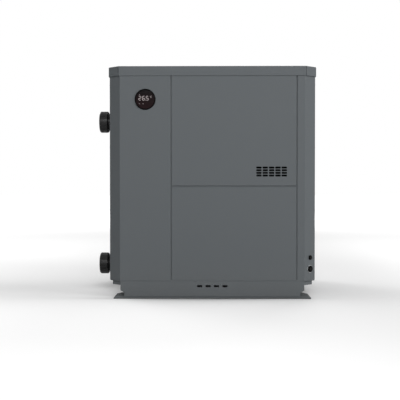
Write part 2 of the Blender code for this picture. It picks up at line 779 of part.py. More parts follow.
def build_bracket():
    """Two crossed bars under the shroud, with a ring in the middle that carries the motor."""
    low = BRACKET_TOP - BRACKET_THICKNESS
    reach = FLANGE_RADIUS
    half = BRACKET_ARM / 2
    disc = cylinder_profile(MOTOR_FLANGE, low, BRACKET_TOP)
    bracket = add_piece("motor_bracket", turned(disc, closed=False), "galvanised_steel")
    for name, size_x, size_y in (("arm_across", reach, half), ("arm_along", half, reach)):
        bar = box((-size_x, -size_y, low), (size_x, size_y, BRACKET_TOP))
        join(bracket, add_helper(name, bar))
    hole = cylinder_profile(MOTOR_RADIUS + FIT, low - CUT_PAST, BRACKET_TOP + CUT_PAST)
    cut(bracket, add_helper("motor_hole", turned(hole, closed=False)))


def build_motor():
    top = MOTOR_SEAT + FLANGE_THICKNESS + MOTOR_ABOVE
    shaft_top = HUB_BOTTOM + SHAFT_ENGAGEMENT
    profile = [
        (0, MOTOR_SEAT - MOTOR_BELOW),
        (MOTOR_RADIUS, MOTOR_SEAT - MOTOR_BELOW),
        (MOTOR_RADIUS, MOTOR_SEAT),
        (MOTOR_FLANGE, MOTOR_SEAT),
        (MOTOR_FLANGE, MOTOR_SEAT + FLANGE_THICKNESS),
        (MOTOR_RADIUS, MOTOR_SEAT + FLANGE_THICKNESS),
        (MOTOR_RADIUS, top),
        (SHAFT_RADIUS, top),
        (SHAFT_RADIUS, shaft_top),
        (0, shaft_top),
    ]
    add_piece("fan_motor", turned(profile, SMALL_STEPS, closed=False), "black_plastic", True)


def fan_blade(start):
    """One blade, a thin plate that climbs as it goes round and sweeps forward towards its tip."""
    root = HUB_RADIUS * BLADE_ROOT
    span = math.radians(BLADE_WIDTH)
    sweep = math.radians(BLADE_SWEEP)
    middle = (HUB_TOP + HUB_BOTTOM) / 2
    half = BLADE_THICKNESS / 2
    bm = bmesh.new()
    layers = []
    for offset in (-half, half):
        rows = []
        for i in range(BLADE_STATIONS):
            share = i / (BLADE_STATIONS - 1)
            radius = root + (FAN_RADIUS - root) * share
            climb = BLADE_RISE * (ROOT_CLIMB + (TIP_CLIMB - ROOT_CLIMB) * share)
            row = []
            for j in range(BLADE_STATIONS):
                round_share = j / (BLADE_STATIONS - 1)
                angle = start + span * round_share + sweep * share
                x = radius * math.cos(angle)
                y = radius * math.sin(angle)
                z = middle + climb * (round_share - 1 / 2) + offset
                row.append(bm.verts.new((x, y, z)))
            rows.append(row)
        layers.append(rows)
    last = BLADE_STATIONS - 1
    for rows in layers:
        for i in range(last):
            for j in range(last):
                bm.faces.new((rows[i][j], rows[i + 1][j], rows[i + 1][j + 1], rows[i][j + 1]))
    under, over = layers
    for k in range(last):
        bm.faces.new((under[0][k], under[0][k + 1], over[0][k + 1], over[0][k]))
        bm.faces.new((under[last][k], under[last][k + 1], over[last][k + 1], over[last][k]))
        bm.faces.new((under[k][0], under[k + 1][0], over[k + 1][0], over[k][0]))
        bm.faces.new((under[k][last], under[k + 1][last], over[k + 1][last], over[k][last]))
    return bm


def build_fan():
    bore = SHAFT_RADIUS + FIT
    bore_top = HUB_BOTTOM + SHAFT_ENGAGEMENT + FIT
    profile = [
        (0, bore_top),
        (bore, bore_top),
        (bore, HUB_BOTTOM),
        (HUB_RADIUS, HUB_BOTTOM),
        (HUB_RADIUS, HUB_TOP - HUB_BEVEL),
        (HUB_RADIUS - HUB_BEVEL, HUB_TOP),
        (0, HUB_TOP),
    ]
    hub = turned(profile, SMALL_STEPS, closed=False)
    fan = add_piece("fan_rotor", hub, "black_plastic", True)
    blades = bmesh.new()
    for i in range(BLADE_COUNT):
        one = fan_blade(2 * math.pi * i / BLADE_COUNT)
        bmesh.ops.recalc_face_normals(one, faces=one.faces)
        join_into(blades, one)
    join(fan, add_helper("fan_blades", blades))


def guard_height(radius):
    """Height of the underside of the guard's arms, a shallow dome from the collar up."""
    return GUARD_BASE + GUARD_RISE * (1 - (radius / GUARD_RADIUS) ** 2)


def build_fan_guard():
    half = GUARD_WIRE / 2
    rings = bmesh.new()
    for i in range(1, GUARD_RINGS + 1):
        radius = GUARD_DISC + (GUARD_RADIUS - GUARD_DISC) * i / GUARD_RINGS
        low = guard_height(radius) + (half if i < GUARD_RINGS else 0)
        high = guard_height(radius) + half + GUARD_WIRE
        profile = [
            (radius - half, low),
            (radius + half, low),
            (radius + half, high),
            (radius - half, high),
        ]
        join_into(rings, turned(profile, GUARD_STEPS))
    guard = add_piece("fan_guard", rings, "black_wire")
    arms = bmesh.new()
    inner = GUARD_DISC / 2
    stations = [inner + (GUARD_RADIUS - inner) * i / ARM_STEPS for i in range(ARM_STEPS + 1)]
    lay_flat = Matrix.Rotation(math.pi / 2, 4, "X")
    for i in range(GUARD_ARMS):
        side = [(radius, guard_height(radius)) for radius in stations]
        side += [(radius, height + GUARD_WIRE) for radius, height in reversed(side)]
        one = prism(side, -half, half)
        about = Matrix.Rotation(2 * math.pi * i / GUARD_ARMS, 4, "Z")
        join_into(arms, moved(one, about @ lay_flat))
    join(guard, add_helper("guard_arms", arms))
    low = guard_height(GUARD_DISC) - half
    high = guard_height(0) + GUARD_WIRE + half
    disc = cylinder_profile(GUARD_DISC, low, high)
    join(guard, add_helper("guard_disc", turned(disc, SMALL_STEPS, closed=False)))


def main():
    clear_scene()
    parent = bpy.data.objects.new("heat_pump", None)
    bpy.context.scene.collection.objects.link(parent)
    parent.location.x = CENTRE_X
    build_top_cover()
    build_corner_pieces()
    build_service_panels()
    build_side_panels()
    build_coil_guards()
    build_coil()
    build_compartment()
    build_base_pan()
    build_foot_rails()
    build_controller()
    build_unions()
    build_glands()
    build_shroud()
    build_bracket()
    build_motor()
    build_fan()
    build_fan_guard()


main()
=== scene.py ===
"""Looks of the pool heat pump: cabinet, base, water unions, controller, coil, fan and stage.

Each piece takes its place from the box of the CAD node that it stands for. Metres, +Z up, and the
front towards -Y. A profile is a list of (radius, height) points that is turned about an axis, and
an outline is a list of (x, z) or (x, y) points.
"""

import math

import bpy
from mathutils import Matrix, Vector


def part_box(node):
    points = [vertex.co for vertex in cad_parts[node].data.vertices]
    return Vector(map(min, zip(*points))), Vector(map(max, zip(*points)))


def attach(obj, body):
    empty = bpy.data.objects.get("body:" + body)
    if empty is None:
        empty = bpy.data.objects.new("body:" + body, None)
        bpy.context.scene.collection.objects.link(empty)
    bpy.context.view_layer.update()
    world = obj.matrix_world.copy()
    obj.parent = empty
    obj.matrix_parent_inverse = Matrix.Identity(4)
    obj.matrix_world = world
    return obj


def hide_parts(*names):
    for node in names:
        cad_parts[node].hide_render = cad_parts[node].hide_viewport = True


bl_info = {
    "name": "Pool Heat Pump",
    "version": (1, 0, 0),
    "blender": (4, 5, 0),
    "location": "View3D > Sidebar > Heat Pump",
    "description": "Builds the visible pieces of a pool heat pump on its CAD frame",
    "category": "Object",
}

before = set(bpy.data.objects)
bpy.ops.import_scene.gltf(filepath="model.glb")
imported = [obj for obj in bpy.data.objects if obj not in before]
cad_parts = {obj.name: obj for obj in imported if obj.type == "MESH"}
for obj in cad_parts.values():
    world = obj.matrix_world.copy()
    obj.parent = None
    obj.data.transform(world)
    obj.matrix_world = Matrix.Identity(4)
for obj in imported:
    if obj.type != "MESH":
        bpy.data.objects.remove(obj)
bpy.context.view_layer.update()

BODY = "root"
LEFT_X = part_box("left_side_panel")[0].x
RIGHT_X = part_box("right_side_panel")[1].x
CENTRE_X = (LEFT_X + RIGHT_X) / 2
FRONT_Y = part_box("lower_service_panel")[0].y
SHROUD_DROP = 0.0028  # shroud's top edge below the lid's face
LID_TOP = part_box("fan_shroud")[1].z + SHROUD_DROP
FAN_MIDDLE = (CENTRE_X, 0.0)

# How finely things are made
SMOOTH_ANGLE = math.radians(35)
FLAT_ANGLE = math.radians(0.4)
MERGE = 0.00001
SHEET_BEVEL = 0.0006
EDGE_BEVELS = {"top_cover": 0.0011}
ROUND_STEPS = 64
FINE_STEPS = 96
WIRE_SIDES = 2  # curve resolution of a wire's section

# Options that every colour setting shares
COLOUR = {"size": 3, "min": 0.0, "max": 1.0, "subtype": "COLOR"}


class CabinetFinish(bpy.types.PropertyGroup):
    """Colours of the painted and moulded pieces"""

    coat_colour: bpy.props.FloatVectorProperty(
        name="Coat Colour",
        description="Colour of the powder coat on the cabinet",
        default=(0.121, 0.133, 0.141),
        **COLOUR,
    )
    coat_roughness: bpy.props.FloatProperty(
        name="Coat Roughness",
        description="Roughness of the powder coat, from glossy to matt",
        default=0.6,
        min=0.0,
        max=1.0,
        subtype="FACTOR",
    )
    plastic_colour: bpy.props.FloatVectorProperty(
        name="Plastic Colour",
        description="Colour of the water unions",
        default=(0.0045, 0.0047, 0.0050),
        **COLOUR,
    )


class DisplaySettings(bpy.types.PropertyGroup):
    """What the controller's display shows"""

    reading: bpy.props.StringProperty(
        name="Reading",
        description="Water temperature on the display, as figures with a point",
        default="26.5",
    )
    figure_height: bpy.props.FloatProperty(
        name="Figure Height",
        description="Height of the figures on the display",
        default=0.0165,
        unit="LENGTH",
    )
    figure_colour: bpy.props.FloatVectorProperty(
        name="Figure Colour",
        description="Colour of the lit figures",
        default=(0.74, 0.63, 0.63),
        **COLOUR,
    )


class GridSizes(bpy.types.PropertyGroup):
    """Sizes of the wire grids and of the coil's fins"""

    guard_rings: bpy.props.IntProperty(
        name="Guard Rings",
        description="Number of wire rings in the fan guard",
        default=17,
        min=4,
        max=40,
    )
    ring_wire: bpy.props.FloatProperty(
        name="Ring Wire",
        description="Thickness of the fan guard's rings",
        default=0.003,
        unit="LENGTH",
    )
    grid_pitch: bpy.props.FloatProperty(
        name="Grid Pitch",
        description="Distance between the upright wires of the coil guards",
        default=0.022,
        unit="LENGTH",
    )
    fin_pitch: bpy.props.FloatProperty(
        name="Fin Pitch",
        description="Distance between the coil's fins",
        default=0.0025,
        unit="LENGTH",
    )
    nut_ribs: bpy.props.IntProperty(
        name="Nut Ribs",
        description="Number of grip ribs round each union nut",
        default=20,
        min=6,
        max=40,
    )


class StageSettings(bpy.types.PropertyGroup):
    """The plain floor and the light"""

    floor_colour: bpy.props.FloatVectorProperty(
        name="Floor Colour",
        description="Colour of the pale floor",
        default=(0.8, 0.8, 0.8),
        **COLOUR,
    )
    key_power: bpy.props.FloatProperty(
        name="Key Power",
        description="Power of the large lamp at the right; the others follow it",
        default=315.0,
        min=0.0,
        unit="POWER",
    )
    sky_strength: bpy.props.FloatProperty(
        name="Sky Strength",
        description="Strength of the even light from all round",
        default=0.03,
        min=0.0,
    )


def finish_settings():
    return bpy.context.scene.heat_pump_finish


def display_settings():
    return bpy.context.scene.heat_pump_display


def grid_settings():
    return bpy.context.scene.heat_pump_grids


def stage_settings():
    return bpy.context.scene.heat_pump_stage


# Selecting and shaping


def clear_selection():
    bpy.ops.object.select_all(action="DESELECT")


def make_active(piece):
    clear_selection()
    piece.select_set(True)
    bpy.context.view_layer.objects.active = piece


def start_edit(piece):
    make_active(piece)
    bpy.ops.object.mode_set(mode="EDIT")
    bpy.ops.mesh.select_all(action="SELECT")


def end_edit():
    bpy.ops.object.mode_set(mode="OBJECT")


def apply_place(piece):
    make_active(piece)
    bpy.ops.object.transform_apply(location=True, rotation=True, scale=True)


def moved(piece, place):
    """Stand a piece that was made at the origin at its place."""
    piece.matrix_world = place
    apply_place(piece)
    return piece


def turn_about(centre, angle):
    """A turn about an upright axis."""
    middle = Matrix.Translation(centre)
    return middle @ Matrix.Rotation(angle, 4, "Z") @ middle.inverted()


def outwards(place, direction):
    """Where a piece made along +Z stands so that it points in the direction."""
    turn = Vector((0, 0, 1)).rotation_difference(Vector(direction)).to_matrix().to_4x4()
    return Matrix.Translation(place) @ turn


def apply_modifier(piece, kind, **values):
    make_active(piece)
    bpy.ops.object.modifier_add(type=kind)
    modifier = piece.modifiers[-1]
    for key, value in values.items():
        setattr(modifier, key, value)
    bpy.ops.object.modifier_apply(modifier=modifier.name)


def round_edges(piece, width, steps=2, angle=30):
    apply_modifier(
        piece,
        "BEVEL",
        width=width,
        segments=steps,
        limit_method="ANGLE",
        angle_limit=math.radians(angle),
        use_clamp_overlap=True,
        harden_normals=False,
    )


def make_sound(piece):
    """Merge points that meet and turn every face outwards."""
    start_edit(piece)
    bpy.ops.mesh.remove_doubles(threshold=MERGE)
    bpy.ops.mesh.normals_make_consistent(inside=False)
    end_edit()


def trace(name, points):
    """A single point, extruded from place to place into a line."""
    clear_selection()
    bpy.ops.mesh.primitive_plane_add(size=0.01)
    piece = bpy.context.active_object
    piece.name = name
    start_edit(piece)
    bpy.ops.mesh.merge(type="CENTER")
    bpy.ops.transform.translate(value=points[0])
    for before, after in zip(points, points[1:]):
        step = Vector(after) - Vector(before)
        bpy.ops.mesh.extrude_vertices_move(TRANSFORM_OT_translate={"value": step})
    end_edit()
    return piece


def extrude_faces(step):
    bpy.ops.mesh.extrude_region_move(TRANSFORM_OT_translate={"value": step})


def turned_piece(name, profile, place=None, steps=ROUND_STEPS):
    """Spin a profile about +Z, then stand the piece at its place."""
    piece = trace(name, [(radius, 0.0, height) for radius, height in profile])
    start_edit(piece)
    bpy.ops.mesh.spin(steps=steps, angle=2 * math.pi, center=(0, 0, 0), axis=(0, 0, 1))
    end_edit()
    make_sound(piece)
    return piece if place is None else moved(piece, place)


def wire_along(name, points, thickness):
    """A round wire that follows a line of points."""
    make_active(trace(name, points))
    bpy.ops.object.convert(target="CURVE")
    wire = bpy.context.active_object
    wire.data.bevel_depth = thickness / 2
    wire.data.bevel_resolution = WIRE_SIDES
    wire.data.use_fill_caps = True
    bpy.ops.object.convert(target="MESH")
    wire = bpy.context.active_object
    wire.name = name
    make_sound(wire)
    return wire


def block(name, low, high):
    """A box between two opposite corners, to be shaped further."""
    low = Vector(low)
    high = Vector(high)
    clear_selection()
    bpy.ops.mesh.primitive_cube_add(size=1, location=(low + high) / 2)
    piece = bpy.context.active_object
    piece.name = name
    piece.scale = high - low
    apply_place(piece)
    return piece


def band_along(name, outline, low, high, thickness):
    """An upright strip of sheet that follows an outline of (x, y) points."""
    piece = trace(name, [(x, y, low) for x, y in outline])
    start_edit(piece)
    extrude_faces((0, 0, high - low))
    end_edit()
    make_sound(piece)
    apply_modifier(piece, "SOLIDIFY", thickness=thickness, offset=0.0)
    make_sound(piece)
    return piece


def flat_plate(name, outline, front, depth):
    """A plate from its (x, z) outline, whose face stands at the given Y."""
    piece = trace(name, [(x, front, z) for x, z in (*outline, outline[0])])
    start_edit(piece)
    bpy.ops.mesh.remove_doubles(threshold=MERGE)
    bpy.ops.mesh.edge_face_add()
    extrude_faces((0, depth, 0))
    end_edit()
    make_sound(piece)
    return piece


def repeated(piece, count, step):
    """Make a row of like shapes with an array."""
    if count > 1:
        apply_modifier(
            piece,
            "ARRAY",
            count=count,
            use_relative_offset=False,
            use_constant_offset=True,
            constant_offset_displace=step,
        )


def copy_piece(piece, name, matrix):
    """Copy a piece with its own mesh, and move the copy."""
    make_active(piece)
    bpy.ops.object.duplicate(linked=False)
    twin = bpy.context.active_object
    twin.name = name
    return moved(twin, matrix @ twin.matrix_world)


def copies_round(piece, count, centre=(0, 0, 0)):
    """The piece and its copies, evenly spaced round an upright axis."""
    pieces = [piece]
    for i in range(1, count):
        turn = turn_about(centre, 2 * math.pi * i / count)
        pieces.append(copy_piece(piece, f"{piece.name}_{i}", turn))
    return pieces


def joined(name, pieces):
    clear_selection()
    for piece in pieces:
        piece.select_set(True)
    bpy.context.view_layer.objects.active = pieces[0]
    bpy.ops.object.join()
    pieces[0].name = name
    pieces[0].data.name = name
    return pieces[0]


def ribs_round(name, low, high, count, place, bevel=0.0, steps=2):
    """Bars round an axis, made from one block and stood at their place."""
    rib = block(name, low, high)
    if bevel:
        round_edges(rib, bevel, steps)
    return moved(joined(f"{name}s", copies_round(rib, count)), place)


def copied_node(node, name):
    """A merged copy of a CAD node, whose flat faces are whole again."""
    make_active(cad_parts[node])
    bpy.ops.object.duplicate(linked=False)
    piece = bpy.context.active_object
    piece.name = name
    piece.data.name = name
    piece.parent = None
    for key in list(piece.keys()):
        del piece[key]
    start_edit(piece)
    bpy.ops.mesh.remove_doubles(threshold=MERGE)
    bpy.ops.mesh.dissolve_limited(angle_limit=FLAT_ANGLE)
    end_edit()
    return piece


def hand_over(piece, finish, slot, *nodes):
    """Give a finished piece its material and its body, and hide the nodes that it stands for.

    The large faces set the shading at their corners, so that only folds look rounded.
    """
    piece.data.materials.clear()
    piece.data.materials.append(bpy.data.materials[finish])
    make_active(piece)
    bpy.ops.object.shade_smooth_by_angle(angle=SMOOTH_ANGLE)
    apply_modifier(piece, "WEIGHTED_NORMAL", keep_sharp=True, weight=100, mode="FACE_AREA")
    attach(piece, BODY)
    if nodes:
        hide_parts(*nodes)


def dress_nodes(nodes, finish, slot):
    for node in nodes:
        piece = copied_node(node, f"{node}_dressed")
        round_edges(piece, EDGE_BEVELS.get(node, SHEET_BEVEL))
        hand_over(piece, finish, slot, node)


# Shader groups


def new_group(name, inputs, outputs=("Colour", "Roughness", "Height")):
    """A group, its source sockets and its result sockets. Only Colour is not a number."""
    group = bpy.data.node_groups.new(name, "ShaderNodeTree")
    for labels, way in ((inputs, "INPUT"), (outputs, "OUTPUT")):
        for label in labels:
            kind = "NodeSocketColor" if label == "Colour" else "NodeSocketFloat"
            socket = group.interface.new_socket(label, in_out=way, socket_type=kind)
            if way == "INPUT":
                socket.default_value = inputs[label]
    source = group.nodes.new("NodeGroupInput").outputs
    return group, source, group.nodes.new("NodeGroupOutput").inputs


def plug(tree, socket, value):
    """Link a socket to another one, or give it a value of its own."""
    if isinstance(value, bpy.types.NodeSocket):
        tree.links.new(value, socket)
    else:
        socket.default_value = value


def plug_all(tree, sockets, *values):
    for socket, value in zip(sockets, values):
        plug(tree, socket, value)


def add_node(tree, kind, **values):
    """A node with its options set and its named inputs plugged."""
    node = tree.nodes.new(kind)
    for key, value in values.items():
        if key in node.inputs:
            plug(tree, node.inputs[key], value)
        else:
            setattr(node, key, value)
    return node


def math_node(tree, operation, *values):
    node = add_node(tree, "ShaderNodeMath", operation=operation)
    plug_all(tree, node.inputs, *values)
    return node.outputs[0]


def noise_value(tree, place, scale, detail=2.0, roughness=0.5):
    values = {"Vector": place, "Scale": scale, "Detail": detail, "Roughness": roughness}
    return add_node(tree, "ShaderNodeTexNoise", **values).outputs["Fac"]


def varied(tree, texture, amount, base):
    """A base value that a texture from 0 to 1 moves up and down."""
    return math_node(
        tree, "MULTIPLY_ADD", math_node(tree, "SUBTRACT", texture, 0.5), amount, base
    )


def tinted(tree, colour, factor):
    """A colour made lighter or darker by a factor about 1."""
    node = add_node(tree, "ShaderNodeVectorMath", operation="SCALE", Scale=factor)
    plug(tree, node.inputs[0], colour)
    return node.outputs[0]


def blended(tree, factor, low, high):
    """A mix of two colours."""
    node = add_node(tree, "ShaderNodeMix", data_type="RGBA")
    for i, value in ((0, factor), (6, low), (7, high)):
        plug(tree, node.inputs[i], value)
    return node.outputs[2]


def object_place(tree):
    return tree.nodes.new("ShaderNodeTexCoord").outputs["Object"]


def split_place(tree):
    """The three coordinates of the object place."""
    return add_node(tree, "ShaderNodeSeparateXYZ", Vector=object_place(tree)).outputs


def powder_coat_group():
    """Fine satin grain, a little unevenness in tone, dust low down, and painted shade that darkens
    the bottom by the floor.
    """
    inputs = {
        "Colour": (0.1, 0.1, 0.1, 1),
        "Roughness": 0.5,
        "Grain Scale": 900.0,
        "Mottle": 0.05,
        "Dust": 0.1,
        "Grime Height": 0.0048,
    }
    group, source, result = new_group("powder_coat_grain", inputs)
    place = object_place(group)
    grain = noise_value(group, place, source["Grain Scale"], 3.0, 0.55)
    peel = noise_value(group, place, 260.0, 1.0)
    cloud = noise_value(group, place, 3.5, 3.0)
    speckle = varied(group, grain, 0.16, varied(group, cloud, source["Mottle"], 1.0))
    height = split_place(group)["Z"]
    # Painted shade: the coat is darkened by up to half in the lowest few millimetres above the
    # floor
    share = math_node(group, "DIVIDE", height, source["Grime Height"])
    above = math_node(group, "POWER", math_node(group, "MINIMUM", share, 1.0), 6.0)
    edge = math_node(group, "SUBTRACT", 1.0, above)
    tone = math_node(group, "MULTIPLY", speckle, math_node(group, "MULTIPLY_ADD", edge, -0.5, 1.0))
    coated = tinted(group, source["Colour"], tone)
    near_floor = math_node(group, "MULTIPLY_ADD", height, -6.0, 1.0)
    near_floor = math_node(group, "MAXIMUM", near_floor, 0.0)
    patchy = noise_value(group, place, 38.0, 4.0, 0.65)
    dust = math_node(group, "MULTIPLY", near_floor, patchy)
    dust = math_node(group, "MULTIPLY", dust, source["Dust"])
    dusty = blended(group, dust, coated, (0.30, 0.28, 0.25, 1))
    rough = varied(group, cloud, 0.12, source["Roughness"])
    rough = math_node(group, "MULTIPLY_ADD", dust, 0.5, rough)
    relief = math_node(group, "MULTIPLY_ADD", peel, 0.6, grain)
    plug_all(group, result, dusty, rough, relief)


def moulded_group():
    """Moulded plastic: a very fine texture and faint handling marks."""
    inputs = {"Colour": (0.02, 0.02, 0.02, 1), "Roughness": 0.4, "Grain Scale": 1400.0}
    group, source, result = new_group("moulded_grain", inputs)
    place = object_place(group)
    grain = noise_value(group, place, source["Grain Scale"], 2.0)
    rubbed = noise_value(group, place, 45.0, 4.0, 0.6)
    colour = tinted(group, source["Colour"], varied(group, rubbed, 0.35, 1.0))
    rough = varied(group, rubbed, 0.18, source["Roughness"])
    plug_all(group, result, colour, rough, grain)


def zinc_group():
    """Hot-dip zinc: flakes of slightly different tone and dullness."""
    inputs = {"Colour": (0.45, 0.46, 0.47, 1), "Roughness": 0.4, "Flake Scale": 110.0}
    group, source, result = new_group("zinc_spangle", inputs)
    values = {"Vector": object_place(group), "Scale": source["Flake Scale"]}
    flakes = add_node(group, "ShaderNodeTexVoronoi", **values).outputs
    parts = add_node(group, "ShaderNodeSeparateColor", Color=flakes["Color"]).outputs
    colour = tinted(group, source["Colour"], varied(group, parts[0], 0.22, 1.0))
    rough = varied(group, parts[1], 0.2, source["Roughness"])
    plug_all(group, result, colour, rough, flakes["Distance"])


def rolled_group():
    """Thin rolled metal with fine lines along one direction, duller in patches."""
    inputs = {"Colour": (0.6, 0.6, 0.6, 1), "Roughness": 0.35}
    group, source, result = new_group("rolled_metal", inputs, ("Colour", "Roughness"))
    place = object_place(group)
    stretched = add_node(group, "ShaderNodeMapping", Vector=place, Scale=(900.0, 900.0, 20.0))
    lines = noise_value(group, stretched.outputs[0], 1.0, 2.0)
    dull = noise_value(group, place, 9.0, 3.0)
    colour = tinted(group, source["Colour"], varied(group, dull, 0.3, 1.0))
    plug_all(group, result, colour, varied(group, lines, 0.25, source["Roughness"]))


# Materials

# Name, shader group, colour, roughness, metallic, specular and bump of the plainer finishes
FINISHES = (
    ("dull_black", "moulded_grain", (0.0030, 0.0031, 0.0033), 0.6, 0.0, 0.04, 0.15),
    ("moulded_fan", "moulded_grain", (0.016, 0.016, 0.017), 0.5, 0.0, 0.12, 0.15),
    ("rubber_seal", "moulded_grain", (0.012, 0.012, 0.012), 0.75, 0.0, 0.12, 0.3),
    ("motor_enamel", "moulded_grain", (0.022, 0.022, 0.024), 0.42, 0.0, 0.12, 0.15),
    # Near-black finish of the compartment: painted shade seen through the vent slots
    ("painted_shade_black", "moulded_grain", (0.006, 0.0062, 0.007), 0.95, 0.0, 0.12, 0.5),
    ("coated_wire", "moulded_grain", (0.028, 0.029, 0.031), 0.55, 0.0, 0.12, 0.15),
    ("spangled_zinc", "zinc_spangle", (0.42, 0.43, 0.44), 0.42, 0.85, 0.5, 0.1),
    ("rolled_fins", "rolled_metal", (0.74, 0.75, 0.76), 0.45, 0.35, 0.5, 0.0),
    ("fin_collars", "rolled_metal", (0.20, 0.195, 0.19), 0.5, 0.3, 0.5, 0.0),
)
BUMP_DISTANCE = 0.0001
COAT_BUMP_DISTANCE = 0.0002


def new_material(name):
    material = bpy.data.materials.new(name)
    material.use_nodes = True
    return material.node_tree


def set_shader(tree, values):
    """Plug the named inputs of a material's shader."""
    shader = tree.nodes["Principled BSDF"]
    for key, value in values.items():
        plug(tree, shader.inputs[key], value)
    return shader


def grouped_material(
    name, group, colour, roughness, metallic, specular, bump, distance=BUMP_DISTANCE, **values
):
    """A material whose colour, roughness and relief come from a group."""
    tree = new_material(name)
    values = {"Colour": (*colour, 1.0), "Roughness": roughness, **values}
    node_tree = bpy.data.node_groups[group]
    surface = add_node(tree, "ShaderNodeGroup", node_tree=node_tree, **values).outputs
    settings = {
        "Base Color": surface["Colour"],
        "Roughness": surface["Roughness"],
        "Metallic": metallic,
        "Specular IOR Level": specular,
    }
    if bump:
        values = {"Height": surface["Height"], "Strength": bump, "Distance": distance}
        settings["Normal"] = add_node(tree, "ShaderNodeBump", **values).outputs["Normal"]
    set_shader(tree, settings)


def coat_material(name, dust):
    settings = finish_settings()
    coat = (settings.coat_colour, settings.coat_roughness, 0.0, 0.2, 0.25, COAT_BUMP_DISTANCE)
    grouped_material(name, "powder_coat_grain", *coat, Dust=dust, Mottle=0.06)


def lens_material():
    """Dark polished lens with a warm tint that is a little stronger towards its lower half."""
    tree = new_material("smoked_lens")
    low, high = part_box("controller_glass")
    values = {"Value": split_place(tree)["Z"], "From Min": low.z, "From Max": high.z}
    ramp = add_node(tree, "ShaderNodeMapRange", **values)
    warm = (0.0190, 0.0088, 0.0098, 1)
    tint = blended(tree, ramp.outputs[0], warm, (0.0050, 0.0042, 0.0046, 1))
    smears = noise_value(tree, object_place(tree), 60.0, 4.0, 0.6)
    rough = math_node(tree, "MULTIPLY_ADD", smears, 0.14, 0.10)
    set_shader(tree, {"Base Color": tint, "Roughness": rough, "Specular IOR Level": 0.04})


def lit_material():
    """Figures that glow softly behind the lens."""
    tree = new_material("display_light")
    speck = noise_value(tree, object_place(tree), 1600.0, 1.0)
    glow = math_node(tree, "MULTIPLY_ADD", speck, 0.25, 0.9)
    base = tree.nodes.new("ShaderNodeRGB").outputs[0]
    base.default_value = (*display_settings().figure_colour, 1.0)
    settings = {
        "Base Color": (0.02, 0.015, 0.015, 1),
        "Emission Color": tinted(tree, base, glow),
        "Emission Strength": 0.43,
        "Roughness": 0.4,
    }
    set_shader(tree, settings)


class HEATPUMP_OT_materials(bpy.types.Operator):
    """Make the shader groups and materials"""

    bl_idname = "heatpump.materials"
    bl_label = "Materials"

    def execute(self, context):
        powder_coat_group()
        moulded_group()
        zinc_group()
        rolled_group()
        coat_material("satin_grey_coat", 0.12)
        coat_material("coated_screws", 0.0)
        plastic = finish_settings().plastic_colour
        grouped_material("moulded_black", "moulded_grain", plastic, 0.29, 0.0, 0.24, 0.15)
        for finish in FINISHES:
            grouped_material(*finish)
        lens_material()
        lit_material()
        return {"FINISHED"}


# Cabinet

# Sheet-metal nodes that wear the grey powder coat
COATED_NODES = (
    "top_cover",
    "left_front_panel",
    "upper_service_panel",
    "lower_service_panel",
    "panel_cross_rail",
    "right_front_post",
    "right_rear_post",
    "left_rear_post",
    "left_side_panel",
    "right_side_panel",
    "base_pan",
    "front_foot_rail",
    "rear_foot_rail",
)
ZINC_NODES = ("fan_shroud", "motor_bracket")

# Beads of sealant where the lid's rim is joined at its cut corners
LID_CORNER = 0.0455
RIM_JOINT_WIDTH = 0.0012
RIM_JOINT_PROUD = 0.0002
RIM_JOINT_DEPTH = 0.001


class HEATPUMP_OT_cabinet(bpy.types.Operator):
    """Build the lid with its sealed joints, the panels, the posts, the pan and the foot rails"""

    bl_idname = "heatpump.cabinet"
    bl_label = "Cabinet"

    def execute(self, context):
        dress_nodes(COATED_NODES, "satin_grey_coat", "grey_powder_coat")
        low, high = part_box("top_cover")
        half = RIM_JOINT_WIDTH / 2
        beads = []
        for x in (low.x + LID_CORNER, high.x - LID_CORNER):
            for face, inwards in ((low.y, 1), (high.y, -1)):
                ends = sorted((face - inwards * RIM_JOINT_PROUD, face + inwards * RIM_JOINT_DEPTH))
                start = (x - half, ends[0], low.z + half)
                beads.append(block("rim_bead", start, (x + half, ends[1], LID_TOP - 2 * half)))
        hand_over(joined("rim_joints", beads), "rubber_seal", "black_plastic")
        return {"FINISHED"}


# Folded flanges behind the joints of the front
JOINT_DEPTH = 0.0042  # behind the panels' faces
JOINT_SHEET = 0.0010
JOINT_LAP = 0.0006  # under each panel
JOINT_TOP = 0.925
PAN_JOINT_DEPTH = 0.0018  # middle of the strip behind the panels' faces
PAN_JOINT_SHEET = 0.0016
PAN_JOINT_DOWN = 0.003
PAN_JOINT_UP = 0.0040
CORNER_CUT = 0.047  # leg of the cabinet's cut corners


class HEATPUMP_OT_joint_flanges(bpy.types.Operator):
    """Build the folded flanges that show at the bottom of the joints between the front panels"""

    bl_idname = "heatpump.joint_flanges"
    bl_label = "Joint Flanges"

    def execute(self, context):
        left_low, left_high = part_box("left_front_panel")
        low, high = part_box("lower_service_panel")
        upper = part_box("upper_service_panel")[0]
        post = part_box("right_front_post")[0]
        near = FRONT_Y + JOINT_DEPTH
        back = near + JOINT_SHEET
        lap = JOINT_LAP
        foot = left_low.z
        strips = [
            block("left_joint", (left_high.x - lap, near, foot), (low.x + lap, back, JOINT_TOP)),
            block("right_joint", (high.x - lap, near, foot), (post.x + lap, back, JOINT_TOP)),
            block("middle_joint", (low.x, near, high.z - lap), (high.x, back, upper.z + lap)),
        ]
        corner = CORNER_CUT + PAN_JOINT_DEPTH * math.tan(math.pi / 8)
        middle = FRONT_Y + PAN_JOINT_DEPTH
        outline = [
            (LEFT_X + PAN_JOINT_DEPTH, FRONT_Y + corner),
            (LEFT_X + corner, middle),
            (RIGHT_X - corner, middle),
            (RIGHT_X - PAN_JOINT_DEPTH, FRONT_Y + corner),
        ]
        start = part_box("base_pan")[1].z - PAN_JOINT_DOWN
        end = foot + PAN_JOINT_UP
        strips.append(band_along("pan_joint", outline, start, end, PAN_JOINT_SHEET))
        hand_over(joined("joint_flanges", strips), "satin_grey_coat", "grey_powder_coat")
        return {"FINISHED"}


